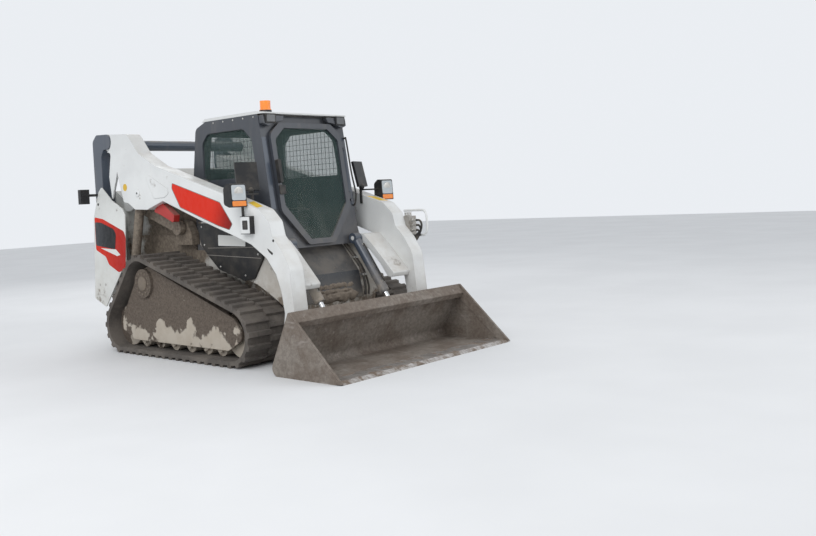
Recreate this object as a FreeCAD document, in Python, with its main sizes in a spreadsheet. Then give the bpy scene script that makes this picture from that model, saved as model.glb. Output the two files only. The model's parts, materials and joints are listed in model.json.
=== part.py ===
import FreeCAD, Part
import math
import os
from types import SimpleNamespace
from FreeCAD import Placement, Rotation, Vector

# Compact track loader. Millimetres, +X forward to the bucket, +Y to the machine's left, +Z up.
# The origin lies on the ground, half way between the tail and the bucket's cutting edge.
# Right-hand pieces are drawn first, at negative Y, and mirrored for the left.

doc = FreeCAD.newDocument("track_loader")

# Driving dimensions: name, value
SIZES = [
    # Tracks: the belt runs round a rear idler, a sprocket above it and a front idler
    ("track_inner", 530), ("track_width", 450), ("belt_thickness", 35), ("lug_height", 22),
    ("lug_pitch", 104), ("lug_foot", 52), ("lug_tip", 34),
    ("rear_idler_x", -1033), ("rear_idler_radius", 190),
    ("front_idler_x", 605), ("front_idler_radius", 200),
    ("sprocket_x", -690), ("sprocket_z", 640), ("sprocket_radius", 205), ("sprocket_teeth", 15),
    ("hub_radius", 130), ("roller_radius", 70), ("wheel_gap", 2),
    ("frame_inner", 620), ("frame_outer", 905), ("frame_plate", 22), ("wheel_clearance", 16),
    # Chassis tub, uprights and their covers
    ("tub_half_width", 490), ("tub_wall", 20), ("tub_floor_z", 240), ("tub_top_z", 1050),
    ("tail_x", -1720), ("cab_sill_z", 905), ("firewall_x", -470), ("sponson_depth", 82),
    ("upright_depth", 145), ("cover_near", 795), ("cover_thickness", 10),
    ("side_cover_thickness", 22), ("side_cover_gap", 3),
    ("nose_eye_x", 868), ("nose_eye_z", 330), ("tail_eye_x", -1694), ("tail_eye_z", 318),
    ("eye_plate_y", 260), ("eye_plate", 20), ("eye_hole", 22),
    # Cab
    ("cab_half_width", 487), ("cab_wall", 28), ("cab_top_z", 2055), ("cab_front_x", 500),
    ("cab_rear_x", -455), ("front_lean", 8), ("roof_thickness", 26), ("glass_thickness", 6),
    ("floor_z", 600), ("seat_top_z", 1090), ("seat_width", 480),
    # Door, in the leaning plane of the cab's front
    ("door_gap", 5), ("door_thickness", 32), ("door_rim", 48), ("door_overlap", 22),
    ("door_hinge_y", 436), ("door_hinge_radius", 15), ("hinge_pin_radius", 8),
    # Lift arms and their pivots
    ("arm_inner", 645), ("arm_width", 140), ("arm_plate", 20),
    ("arm_pivot_x", -1440), ("arm_pivot_z", 1965), ("link_pivot_x", -1614), ("link_pivot_z", 616),
    ("control_pivot_x", -557), ("control_pivot_z", 1117),
    ("control_pin_x", -1284), ("control_pin_z", 1356),
    ("pivot_pin_radius", 30), ("pin_clearance", 0.1), ("tongue_width", 70), ("cheek_radius", 70),
    ("link_near", 655), ("link_width", 120), ("control_near", 580), ("control_width", 52),
    ("cross_tube_radius", 50), ("cross_tube_x", -1210), ("cross_tube_z", 1915),
    # Lift cylinders
    ("lift_base_x", -1216), ("lift_base_z", 506), ("lift_pin_x", -980), ("lift_pin_z", 1440),
    ("lift_barrel_radius", 42), ("lift_barrel_length", 870), ("lift_rod_radius", 25),
    ("eye_radius", 50), ("eye_width", 88), ("lift_y", 715),
    # Bucket, coupler and tilt cylinders
    ("bucket_pivot_x", 1085), ("bucket_pivot_z", 190), ("bucket_pin_radius", 30),
    ("bucket_width", 2032), ("heel_x", 1126), ("bucket_top_x", 1374), ("bucket_top_z", 488),
    ("tip_x", 1905), ("bucket_plate", 12), ("side_plate", 14), ("edge_length", 205),
    ("edge_thickness", 22), ("coupler_plate", 30), ("coupler_gap", 0.3), ("coupler_half", 600),
    ("tilt_base_x", 710), ("tilt_base_z", 950), ("tilt_pin_x", 1115), ("tilt_pin_z", 370),
    ("tilt_y", 385), ("tilt_barrel_radius", 42), ("tilt_barrel_length", 580),
    ("tilt_rod_radius", 22), ("tilt_eye_width", 76), ("tilt_eye_radius", 42),
    ("tilt_ear_gap", 6), ("tilt_ear", 15),
    # Tailgate
    ("tailgate_x", -1800), ("tailgate_depth", 105), ("tailgate_half_width", 474),
    ("tailgate_top_z", 1480), ("tailgate_bottom_z", 440), ("tailgate_wall", 18),
    # Lamps and mirrors
    ("lamp_x", 640), ("lamp_y", 868), ("lamp_z", 1375), ("lamp_width", 155),
    ("mirror_width", 190), ("mirror_height", 240), ("mirror_thickness", 24),
]

sheet = doc.addObject("Spreadsheet::Sheet", "Sizes")
for row, (alias, value) in enumerate(SIZES, start=1):
    sheet.set(f"A{row}", alias)
    sheet.set(f"B{row}", str(value))
    sheet.setAlias(f"B{row}", alias)
doc.recompute()
v = SimpleNamespace(**{alias: float(sheet.get(alias)) for alias, _ in SIZES})

nodes = {}


def keep(label, thing):
    """Names a finished sub-part; its label is its file's name."""
    thing.Label = label
    nodes[label] = thing
    return thing


def outline_edges(points):
    """Lines and corner arcs of a closed outline; a point is (a, b) or (a, b, corner radius)."""
    corners = []
    for i, point in enumerate(points):
        here = Vector(point[0], point[1], 0)
        before = Vector(points[i - 1][0], points[i - 1][1], 0)
        after = Vector(points[(i + 1) % len(points)][0], points[(i + 1) % len(points)][1], 0)
        radius = point[2] if len(point) > 2 else 0
        back = (before - here).normalize()
        ahead = (after - here).normalize()
        half = back.getAngle(ahead) / 2
        if radius <= 0 or abs(half - math.pi / 2) < 1e-6:
            corners.append((here, None, here))
            continue
        setback = radius / math.tan(half)
        centre = here + (back + ahead).normalize() * (radius / math.sin(half))
        middle = centre + (here - centre).normalize() * radius
        corners.append((here + back * setback, middle, here + ahead * setback))
    edges = []
    for i, (start, middle, end) in enumerate(corners):
        if middle is not None:
            edges.append(Part.ArcOfCircle(start, middle, end))
        following = corners[(i + 1) % len(corners)][0]
        if (following - end).Length > 1e-6:
            edges.append(Part.LineSegment(end, following))
    return edges


def slab(name, points, start, depth, plane="XZ_Plane", holes=()):
    """A padded outline. On XZ_Plane it runs from y = -start to y = -(start + depth)."""
    body = doc.addObject("PartDesign::Body", name)
    sketch = body.newObject("Sketcher::SketchObject", name + "_outline")
    base = [item for item in body.Origin.OriginFeatures if item.Role == plane][0]
    sketch.AttachmentSupport = [(base, "")]
    sketch.MapMode = "FlatFace"
    sketch.setExpression("AttachmentOffset.Base.z", start)
    sketch.addGeometry(outline_edges(points), False)
    for a, b, radius in holes:
        sketch.addGeometry(Part.Circle(Vector(a, b, 0), Vector(0, 0, 1), radius), False)
    pad = body.newObject("PartDesign::Pad", name + "_pad")
    pad.Profile = sketch
    pad.setExpression("Length", depth)
    sketch.Visibility = False
    return body


def rod_along_y(name, x, z, radius, near, length):
    """A round bar along Y on the right-hand side, from y = -near outwards."""
    bar = doc.addObject("Part::Cylinder", name)
    bar.setExpression("Radius", radius)
    bar.setExpression("Height", length)
    bar.Placement = Placement(Vector(0, 0, 0), Rotation(Vector(1, 0, 0), 90))
    bar.setExpression("Placement.Base.x", x)
    bar.setExpression("Placement.Base.y", f"-({near})")
    bar.setExpression("Placement.Base.z", z)
    return bar


def block(name, low, high):
    """A box between two corners, each given as three expressions."""
    box = doc.addObject("Part::Box", name)
    for axis, side, a, b in zip("xyz", ("Length", "Width", "Height"), low, high):
        box.setExpression(side, f"({b}) - ({a})")
        box.setExpression("Placement.Base." + axis, str(a))
    return box


def fuse(name, *things):
    joined = doc.addObject("Part::MultiFuse", name)
    joined.Shapes = list(things)
    return joined


def cut(name, base, *tools):
    result = doc.addObject("Part::Cut", name)
    result.Base = base
    result.Tool = tools[0] if len(tools) == 1 else fuse(name + "_tools", *tools)
    return result


def mirror(name, thing):
    """The left-hand copy of a right-hand piece."""
    copy = doc.addObject("Part::Mirroring", name)
    copy.Source = thing
    copy.Normal = (0, 1, 0)
    return copy


def group(name, *things):
    """Like pieces on one body, which don't touch, as one sub-part."""
    together = doc.addObject("Part::Compound", name)
    together.Links = list(things)
    return together


def pair(name, thing):
    return group(name, thing, mirror(name + "_left", thing))


def feature(name, shape):
    """A shape made with Part's own functions, where no primitive or sketch fits."""
    thing = doc.addObject("Part::Feature", name)
    thing.Shape = shape
    return thing


def face_of(points):
    edges = [edge.toShape() for edge in outline_edges(points)]
    return Part.Face(Part.Wire(Part.__sortEdges__(edges)))


# Tracks

def belt_path(grow):
    """Corners of the belt's loop round its three wheels: circles with tangents between them."""
    outer = v.belt_thickness + v.lug_height
    return [
        (v.rear_idler_x, v.rear_idler_radius + outer, v.rear_idler_radius + grow),
        (v.front_idler_x, v.front_idler_radius + outer, v.front_idler_radius + grow),
        (v.sprocket_x, v.sprocket_z, v.sprocket_radius + grow),
    ]


def loop_stations(grow):
    """Straight runs and arcs of the loop, as (length, function from distance to point and normal)."""
    wheels = belt_path(grow)
    normals = []
    for i, (x, z, radius) in enumerate(wheels):
        nx, nz, nradius = wheels[(i + 1) % 3]
        length = math.hypot(nx - x, nz - z)
        heading = math.atan2(nz - z, nx - x)
        normals.append(heading - math.pi / 2 - math.asin((nradius - radius) / length))
    pieces = []
    for i, (x, z, radius) in enumerate(wheels):
        arrive, leave = normals[i - 1], normals[i]
        while leave < arrive:
            leave += 2 * math.pi
        pieces.append(("arc", x, z, radius, arrive, leave))
        nx, nz, nradius = wheels[(i + 1) % 3]
        start = (x + radius * math.cos(leave), z + radius * math.sin(leave))
        end = (nx + nradius * math.cos(leave), nz + nradius * math.sin(leave))
        pieces.append(("run", start, end, leave))
    return pieces


def loop_length(pieces):
    total = 0
    for piece in pieces:
        if piece[0] == "arc":
            total += piece[3] * (piece[5] - piece[4])
        else:
            total += math.dist(piece[1], piece[2])
    return total


def loop_point(pieces, distance, out):
    """The point at a distance along the loop, a height out from it."""
    left = distance % loop_length(pieces)
    for piece in pieces:
        if piece[0] == "arc":
            x, z, radius, arrive, leave = piece[1:]
            if left <= radius * (leave - arrive):
                angle = arrive + left / radius
                return Vector(x + (radius + out) * math.cos(angle), 0, z + (radius + out) * math.sin(angle))
            left -= radius * (leave - arrive)
        else:
            start, end, normal = piece[1:]
            run = math.dist(start, end)
            if left <= run:
                share = left / run
                x = start[0] + (end[0] - start[0]) * share + out * math.cos(normal)
                z = start[1] + (end[1] - start[1]) * share + out * math.sin(normal)
                return Vector(x, 0, z)
            left -= run
    return loop_point(pieces, 0, out)


def loop_face(pieces):
    edges = []
    for piece in pieces:
        if piece[0] == "arc":
            x, z, radius, arrive, leave = piece[1:]
            ends = [Vector(x + radius * math.cos(t), 0, z + radius * math.sin(t))
                    for t in (arrive, (arrive + leave) / 2, leave)]
            edges.append(Part.Arc(*ends).toShape())
        else:
            start, end = piece[1], piece[2]
            edges.append(Part.LineSegment(Vector(start[0], 0, start[1]), Vector(end[0], 0, end[1])).toShape())
    return Part.Face(Part.Wire(edges))


def lugged_face(shift):
    """The belt's outside with its lugs, as one closed outline."""
    pieces = loop_stations(v.belt_thickness)
    total = loop_length(pieces)
    count = round(total / v.lug_pitch)
    points = []
    for i in range(count):
        middle = (i + shift) * total / count
        for along, out in ((-v.lug_foot / 2, 0), (-v.lug_tip / 2, v.lug_height),
                           (v.lug_tip / 2, v.lug_height), (v.lug_foot / 2, 0)):
            points.append(loop_point(pieces, middle + along, out))
    points.append(points[0])
    return Part.Face(Part.makePolygon(points))


def track():
    half = v.track_width / 2
    inside = loop_face(loop_stations(0)).extrude(Vector(0, -v.track_width, 0))
    inner_half = lugged_face(0).extrude(Vector(0, -half, 0))
    outer_half = lugged_face(0.5).extrude(Vector(0, -half, 0))
    outer_half.translate(Vector(0, -half, 0))
    band = inner_half.fuse(outer_half).cut(inside)
    placed = feature("track_right_band", band)
    placed.Placement = Placement(Vector(0, -v.track_inner, 0), Rotation())
    return placed


right_track = keep("track_right", track())
keep("track_left", mirror("track_left", right_track))


# Undercarriage: two plates joined by a deep upper beam, open below for the rollers

belt_floor = v.belt_thickness + v.lug_height
rear_idler_z = v.rear_idler_radius + belt_floor
front_idler_z = v.front_idler_radius + belt_floor
roller_z = v.roller_radius + belt_floor
ROLLER_X = [-790, -565, -330, -95, 140, 340]
frame_depth = "Sizes.frame_outer - Sizes.frame_inner"

frame_beam = slab("frame_beam", [
    (v.rear_idler_x - 60, rear_idler_z - 40, 30), (v.rear_idler_x - 60, rear_idler_z + 60, 60),
    (v.sprocket_x - 95, v.sprocket_z + 110, 90), (v.sprocket_x + 60, v.sprocket_z + 150, 90),
    (v.front_idler_x - 20, front_idler_z + 130, 60), (v.front_idler_x + 60, front_idler_z + 40, 40),
    (v.front_idler_x + 60, front_idler_z - 40, 40), (v.front_idler_x - 120, roller_z - 5, 20),
    (v.rear_idler_x + 120, roller_z - 5, 20)], "Sizes.frame_inner", frame_depth)
slot_near = "Sizes.frame_inner + Sizes.frame_plate"
slot_depth = "Sizes.frame_outer - Sizes.frame_inner - 2 * Sizes.frame_plate"
room = v.wheel_clearance
frame_slots = [
    slab("roller_bay", [
        (v.rear_idler_x - 200, 0), (v.rear_idler_x - 200, roller_z + v.roller_radius + room),
        (v.front_idler_x + 200, roller_z + v.roller_radius + room), (v.front_idler_x + 200, 0)],
        slot_near, slot_depth),
    rod_along_y("rear_idler_bay", "Sizes.rear_idler_x",
                "Sizes.rear_idler_radius + Sizes.belt_thickness + Sizes.lug_height",
                "Sizes.rear_idler_radius + Sizes.wheel_clearance", slot_near, slot_depth),
    rod_along_y("front_idler_bay", "Sizes.front_idler_x",
                "Sizes.front_idler_radius + Sizes.belt_thickness + Sizes.lug_height",
                "Sizes.front_idler_radius + Sizes.wheel_clearance", slot_near, slot_depth),
    rod_along_y("sprocket_bay", "Sizes.sprocket_x", "Sizes.sprocket_z",
                "Sizes.sprocket_radius + Sizes.wheel_clearance", slot_near, slot_depth),
    rod_along_y("hub_hole", "Sizes.sprocket_x", "Sizes.sprocket_z",
                "Sizes.hub_radius + Sizes.wheel_gap", "Sizes.frame_inner - 10", "600"),
]
mounts = [block(f"frame_mount_{i}", (x - 60, "-Sizes.frame_inner", 300),
                (x + 60, "-Sizes.tub_half_width", 420)) for i, x in enumerate((-420, 260))]
right_frame = keep("undercarriage_right",
                   fuse("undercarriage", cut("frame_cut", frame_beam, *frame_slots), *mounts))
keep("undercarriage_left", mirror("undercarriage_left", right_frame))


def wheel(name, x, z, radius, rim_near, rim_width):
    """A flanged wheel on an axle that spans the two plates of the undercarriage."""
    tyre = rod_along_y(name + "_rim", str(x), str(z), str(radius), rim_near, rim_width)
    axle = rod_along_y(name + "_axle", str(x), str(z), "35", slot_near, slot_depth)
    return fuse(name, tyre, axle)


def sprocket():
    """A toothed ring on the final drive's hub, which passes through both plates."""
    points = []
    for i in range(int(v.sprocket_teeth)):
        for step, radius in ((-0.30, 0.86), (-0.16, 1.0), (0.16, 1.0), (0.30, 0.86)):
            angle = 2 * math.pi * (i + step) / v.sprocket_teeth
            reach = radius * (v.sprocket_radius - 3)
            points.append((v.sprocket_x + reach * math.cos(angle), v.sprocket_z + reach * math.sin(angle)))
    ring = slab("sprocket_ring", points, "Sizes.track_inner + Sizes.track_width / 2 - 35", "70")
    hub = rod_along_y("sprocket_hub", "Sizes.sprocket_x", "Sizes.sprocket_z", "Sizes.hub_radius",
                      "Sizes.tub_half_width", "Sizes.frame_outer + 25 - Sizes.tub_half_width")
    return fuse("sprocket", ring, hub)


wheels = [sprocket()]
wheels.append(wheel("rear_idler", v.rear_idler_x, rear_idler_z, v.rear_idler_radius - 1, "670", "180"))
wheels.append(wheel("front_idler", v.front_idler_x, front_idler_z, v.front_idler_radius - 1, "670", "180"))
for i, x in enumerate(ROLLER_X):
    wheels.append(wheel(f"roller_{i}", x, roller_z, v.roller_radius - 1, "665", "190"))
right_wheels = keep("wheels_right", group("wheels_right_set", *wheels))
keep("wheels_left", mirror("wheels_left", right_wheels))


# Chassis tub, with a sponson each side under the side covers and brackets for the control links

tub_width = "2 * Sizes.tub_half_width"
tub_outside = slab("tub_outside", [
    (v.tail_x, 420), (v.tail_x + 130, v.tub_floor_z), (640, v.tub_floor_z), (800, 330), (824, 440),
    (776, 666), (620, 850), (570, v.cab_sill_z), (v.firewall_x, v.cab_sill_z),
    (v.firewall_x, v.tub_top_z), (v.tail_x, v.tub_top_z)], "-Sizes.tub_half_width", tub_width)
wall = v.tub_wall
tub_inside = slab("tub_inside", [
    (v.tail_x + wall, 430), (v.tail_x + 138, v.tub_floor_z + wall), (632, v.tub_floor_z + wall),
    (783, 342), (803, 440), (757, 655), (600, 842), (540, v.tub_top_z + 50),
    (v.tail_x + wall, v.tub_top_z + 50)], "-Sizes.tub_half_width + Sizes.tub_wall",
    "2 * (Sizes.tub_half_width - Sizes.tub_wall)")
sponson = slab("sponson", [
    (-300, 1165), (-290, 960), (-200, 890), (0, 770), (350, 665), (490, 625), (700, 520), (812, 452),
    (770, 666), (612, 850), (590, 900), (520, 1165)], "Sizes.tub_half_width", "Sizes.sponson_depth")
link_bracket = slab("link_bracket", [
    (-700, 960), (-420, 960), (-420, 1060), (-495, 1180, 50), (-620, 1180, 50)],
    "Sizes.tub_half_width - 1", "Sizes.control_near - Sizes.tub_half_width - 10")
link_pin = rod_along_y("link_pin", "Sizes.control_pivot_x", "Sizes.control_pivot_z",
                       "Sizes.pivot_pin_radius", "Sizes.tub_half_width + 20",
                       "Sizes.control_near + Sizes.control_width - Sizes.tub_half_width - 20")
# Tie-down eyes: flat lugs that stand out of the nose, and upright plates under the tail
eye_y = -(v.eye_plate_y + v.eye_plate / 2)
nose_eye = slab("nose_eye", [
    (795, eye_y - 55), (v.nose_eye_x + 42, eye_y - 42, 42), (v.nose_eye_x + 42, eye_y + 42, 42),
    (795, eye_y + 55)], "Sizes.nose_eye_z", "Sizes.eye_plate", "XY_Plane",
    holes=[(v.nose_eye_x, eye_y, v.eye_hole)])
tail_eye = slab("tail_eye", [
    (-1700, 420), (-1745, 340, 35), (-1705, 258, 40), (-1620, 262, 10), (-1585, 250), (-1600, 290)],
    "Sizes.eye_plate_y", "Sizes.eye_plate", holes=[(v.tail_eye_x, v.tail_eye_z, v.eye_hole)])
GATE_HINGE_Z = (560, 960)
tail_hinges = []
for i, z in enumerate(GATE_HINGE_Z):
    tail_hinges.append(block(f"tail_lug_{i}", ("Sizes.tailgate_x - 12", 440, z - 60),
                             ("Sizes.tail_x + 2", 486, z - 31)))
    pin = doc.addObject("Part::Cylinder", f"tail_pin_{i}")
    pin.setExpression("Radius", "Sizes.hinge_pin_radius")
    pin.Height = 85
    pin.setExpression("Placement.Base.x", "Sizes.tailgate_x")
    pin.Placement.Base.y = 463
    pin.Placement.Base.z = z - 50
    tail_hinges.append(pin)
side_parts = [sponson, link_bracket, link_pin, nose_eye, tail_eye]
main_frame = keep("main_frame", fuse(
    "chassis", cut("tub", tub_outside, tub_inside), *side_parts,
    *[mirror(part.Name + "_left", part) for part in side_parts], *tail_hinges))


# Uprights: a deep inner block, pins for the rear link and the lift cylinder, and an outer cover

UPRIGHT_COVER = [(-1524, 1536, 20), (-1352, 1402, 30), (-1168, 1318, 40), (-1131, 1260, 40),
                 (-1160, 824, 20), (-1556, 378, 20), (-1753, 455, 20), (-1696, 1244), (-1579, 1493, 20)]
upright_block = slab("upright_block", [
    (-1560, 1500, 20), (-1375, 1390, 30), (-1375, 1180, 30), (-1330, 760, 60), (-1165, 560, 30),
    (-1165, 450, 45), (-1255, 450, 45), (-1330, 500), (-1500, 430), (-1560, 390), (-1735, 470, 20),
    (-1685, 1244), (-1600, 1470)], "Sizes.tub_half_width", "Sizes.upright_depth")
link_foot_pin = rod_along_y("link_foot_pin", "Sizes.link_pivot_x", "Sizes.link_pivot_z",
                            "Sizes.pivot_pin_radius", "Sizes.tub_half_width + 100",
                            "Sizes.cover_near - Sizes.tub_half_width - 100")
lift_foot_pin = rod_along_y("lift_foot_pin", "Sizes.lift_base_x", "Sizes.lift_base_z",
                            "Sizes.pivot_pin_radius", "Sizes.tub_half_width + 100",
                            "Sizes.lift_y + Sizes.eye_width / 2 + 12 - Sizes.tub_half_width - 100")
rear_wall = slab("upright_rear_wall", [
    (-1753, 455, 10), (-1735, 447), (-1704, 940), (-1719, 940)],
    "Sizes.tub_half_width + Sizes.upright_depth - 1",
    "Sizes.cover_near - Sizes.tub_half_width - Sizes.upright_depth + 1")
right_upright = keep("upright_right", fuse(
    "upright", upright_block, link_foot_pin, lift_foot_pin, rear_wall))
keep("upright_left", mirror("upright_left", right_upright))
right_cover = slab("upright_cover", UPRIGHT_COVER, "Sizes.cover_near", "Sizes.cover_thickness")
keep("upright_covers", pair("upright_covers", right_cover))

# Engine bay

keep("engine_block", block("engine", (-1500, -330, "Sizes.tub_floor_z + Sizes.tub_wall"),
                           (-620, 330, 1100)))
HOOD = [(-1700, 1480, 40), (-1600, 1600, 80), (-1240, 1695, 60), (-980, 1680, 40), (-800, 1585, 40),
        (-485, 1545)]
hood_outside = slab("hood_outside", [(-485, v.tub_top_z), (-1700, v.tub_top_z)] + HOOD, "-470", "940")
hood_inside = slab("hood_inside", [
    (-500, v.tub_top_z - 50), (-1720, v.tub_top_z - 50), (-1720, 1440), (-1600, 1580, 60),
    (-1240, 1677, 50), (-985, 1662, 40), (-805, 1568, 40), (-500, 1530)], "-455", "910")
wedge = slab("hood_wedge", [(-956, 1640), (-965, 1812, 8), (-640, 1720, 8), (-560, 1560), (-700, 1560)],
             "-470", "330")
keep("hood", fuse("hood_shell", cut("hood_hollow", hood_outside, hood_inside), wedge))

# Side covers and front panel

right_side_cover = slab("side_cover", [
    (-290, 1150, 10), (-245, 955, 30), (-155, 870, 30), (0, 745, 30), (350, 655, 30), (468, 672, 40),
    (600, 850, 30), (560, 960, 20), (500, 1150, 10)],
    "Sizes.tub_half_width + Sizes.sponson_depth + 0.3", "Sizes.side_cover_thickness")
keep("side_covers", pair("side_covers", right_side_cover))
keep("front_panel", slab("front_panel", [
    (824.5, 440), (776.5, 666), (620.5, 850), (575, 900), (583, 908), (628, 860), (785, 672), (834, 440)],
    "-330", "660"))

# Cab: a hollow frame with its windows cut, on the tub's sill

lean = math.tan(math.radians(v.front_lean))


def front_x(z):
    """The cab's leaning front plane."""
    return v.cab_front_x + (v.cab_top_z - z) * lean


cab_outside = slab("cab_outside", [
    (v.cab_rear_x, v.cab_sill_z), (v.cab_rear_x, 1586), (v.cab_rear_x + 65, 2000, 60),
    (v.cab_rear_x + 219, v.cab_top_z, 40), (front_x(v.cab_top_z), v.cab_top_z, 30),
    (front_x(v.cab_sill_z), v.cab_sill_z)], "-Sizes.cab_half_width", "2 * Sizes.cab_half_width")
inner = v.cab_wall
cab_inside = slab("cab_inside", [
    (v.cab_rear_x + inner, v.cab_sill_z - 50), (v.cab_rear_x + inner, 1584),
    (v.cab_rear_x + 65 + inner, 1990, 40), (v.cab_rear_x + 225, v.cab_top_z - inner, 30),
    (front_x(v.cab_top_z) - inner, v.cab_top_z - inner),
    (front_x(v.cab_sill_z - 50) - inner, v.cab_sill_z - 50)],
    "-Sizes.cab_half_width + Sizes.cab_wall", "2 * (Sizes.cab_half_width - Sizes.cab_wall)")
SIDE_WINDOW = [(-300, 1530, 40), (-300, 1860, 60), (-215, 1945, 60), (290, 1945, 50), (400, 1850, 50),
               (455, 1530, 30)]
side_window_hole = slab("side_window_hole", SIDE_WINDOW, "-Sizes.cab_half_width - 10",
                        "2 * Sizes.cab_half_width + 20")
rear_window_hole = block("rear_window_hole", ("Sizes.cab_rear_x - 60", -330, 1640),
                         ("Sizes.cab_rear_x + 140", 330, 1930))


def leaning(thing, forward=0):
    """Puts a piece drawn upright into the plane of the cab's front, moved forward square to it."""
    angle = math.radians(v.front_lean)
    thing.Placement = Placement(
        Vector(front_x(v.cab_sill_z) + forward * math.cos(angle), 0,
               v.cab_sill_z + forward * math.sin(angle)), Rotation(Vector(0, 1, 0), -v.front_lean))
    return thing


# Half of the door's outline: half width, height up the leaning front, corner radius
DOOR_HALF = [(150, 20, 50), (405, 320, 90), (412, 985, 90), (300, 1085, 60)]


def door_outline(inset):
    half = [(y - inset * (0.6 if low < 100 else 1.0), low + (inset if low < 500 else -inset),
             max(radius - inset, 8)) for y, low, radius in DOOR_HALF]
    return half + [(-y, low, radius) for y, low, radius in reversed(half)]


door_hole = leaning(slab("door_hole", door_outline(v.door_overlap), "-100", "160", "YZ_Plane"))
hinge_parts = []
HINGE_Z = (430, 900)
for i, up in enumerate(HINGE_Z):
    lug = block(f"door_lug_{i}", (-6, "Sizes.door_hinge_y - 12", up - 50),
                ("Sizes.door_gap + Sizes.door_thickness / 2 + 12", "Sizes.door_hinge_y + 12", up - 31))
    pin = doc.addObject("Part::Cylinder", f"door_pin_{i}")
    pin.setExpression("Radius", "Sizes.hinge_pin_radius")
    pin.Height = 75
    pin.Placement.Base = Vector(v.door_gap + v.door_thickness / 2, v.door_hinge_y, up - 40)
    hinge_parts.append(leaning(fuse(f"door_hinge_{i}", lug, pin)))
keep("cab_frame", fuse("cab_frame_shell", cut(
    "cab_hollow", cab_outside, cab_inside, side_window_hole, rear_window_hole, door_hole), *hinge_parts))
keep("cab_roof", slab("cab_roof", [
    (v.cab_rear_x + 165, v.cab_top_z + 0.3), (front_x(v.cab_top_z) + 60, v.cab_top_z + 0.3),
    (front_x(v.cab_top_z) + 58, v.cab_top_z + 14), (front_x(v.cab_top_z) - 40, v.cab_top_z + 26),
    (v.cab_rear_x + 215, v.cab_top_z + 26)], "-Sizes.cab_half_width", "2 * Sizes.cab_half_width"))

window_pane = slab("side_pane", [(-299, 1531, 39), (-299, 1859, 59), (-215, 1944, 59), (289, 1944, 49),
                                 (399, 1849, 49), (454, 1531, 29)],
                   "Sizes.cab_half_width - 20", "Sizes.glass_thickness")
rear_pane = block("rear_pane", ("Sizes.cab_rear_x + 30", -330, 1640),
                  ("Sizes.cab_rear_x + 30 + Sizes.glass_thickness", 330, 1930))
keep("cab_windows", group("cab_windows", window_pane, mirror("side_pane_left", window_pane), rear_pane))

# Inside the cab
floor_plate = block("floor_plate", (-440, -469.8, "Sizes.floor_z - 15"), (640, 469.8, "Sizes.floor_z"))
riser = block("seat_riser", (-400, -250, "Sizes.floor_z"), (60, 250, "Sizes.seat_top_z - 120"))
keep("cab_floor", fuse("cab_floor_set", floor_plate, riser))
keep("seat", slab("seat", [
    (-330, v.seat_top_z - 120), (120, v.seat_top_z - 120, 30), (140, v.seat_top_z, 40),
    (-190, v.seat_top_z - 20, 40), (-260, 1640, 50), (-380, 1640, 50), (-340, v.seat_top_z, 30)],
    "-Sizes.seat_width / 2", "Sizes.seat_width"))
pod = slab("control_pod", [(-260, v.floor_z), (40, v.floor_z), (60, 1180, 40), (90, 1230, 30),
                           (-260, 1250, 30)], "290", "150")
stick = doc.addObject("Part::Cylinder", "stick")
stick.Radius = 16
stick.Height = 170
stick.Placement.Base = Vector(20, -365, 1190)
keep("control_pods", pair("control_pods", fuse("control_pod_set", pod, stick)))


# Lift arms

def at(name):
    """The two coordinates of a named pivot."""
    return getattr(v, name + "_x"), getattr(v, name + "_z")


arm_x, arm_z = at("arm_pivot")
tip_x, tip_z = at("bucket_pivot")
ARM = [
    (tip_x + 68, tip_z - 70, 65), (1185, 460, 80), (1150, 800, 150), (1065, 935, 60), (965, 1038, 30),
    (935, 1155, 60), (830, 1252, 80), (350, 1404), (-618, 1688), (-880, 1820, 60), (-1010, 1965, 60),
    (-1060, 2010, 30), (-1225, 2020, 40), (arm_x - 75, arm_z + 75, 72), (arm_x - 75, arm_z - 75, 72),
    (-1352, 1850, 30), (-1400, 1630), (-1370, 1420), (-1355, 1290, 55), (-1215, 1290, 55),
    (-1190, 1385, 20), (-1082, 1363), (-983, 1305, 20), (-779, 1297, 20), (-520, 1368, 20),
    (26, 1186), (436, 1062), (698, 977, 60), (879, 869, 80), (988, 742, 60), (1041, 608), (1070, 440),
    (tip_x - 68, tip_z - 70, 65)]
beam = slab("arm_beam", ARM, "Sizes.arm_inner", "Sizes.arm_width",
            holes=[(tip_x, tip_z, v.bucket_pin_radius + v.pin_clearance),
                   (arm_x, arm_z, v.pivot_pin_radius + v.pin_clearance)])
cylinder_slot = slab("cylinder_slot", [
    (-922, 1200), (-922, 1500, 40), (-965, 1575, 40), (-1250, 1655, 30), (-1450, 1655), (-1450, 1200)],
    "Sizes.arm_inner + Sizes.arm_plate", "Sizes.arm_width - 2 * Sizes.arm_plate")
outer_notch = slab("outer_notch", [(-1252, 1655), (-1368, 1420), (-1420, 1200), (-1160, 1200), (-1169, 1385)],
                   "Sizes.arm_inner + Sizes.arm_width - Sizes.arm_plate - 5", "Sizes.arm_plate + 10")
cheek_room = "(Sizes.arm_width - Sizes.tongue_width) / 2"
inner_cheek = rod_along_y("inner_cheek_room", "Sizes.arm_pivot_x", "Sizes.arm_pivot_z",
                          "Sizes.cheek_radius + 32", "Sizes.arm_inner", cheek_room)
outer_cheek = rod_along_y("outer_cheek_room", "Sizes.arm_pivot_x", "Sizes.arm_pivot_z",
                          "Sizes.cheek_radius + 32",
                          "Sizes.arm_inner + (Sizes.arm_width + Sizes.tongue_width) / 2", cheek_room)
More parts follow.
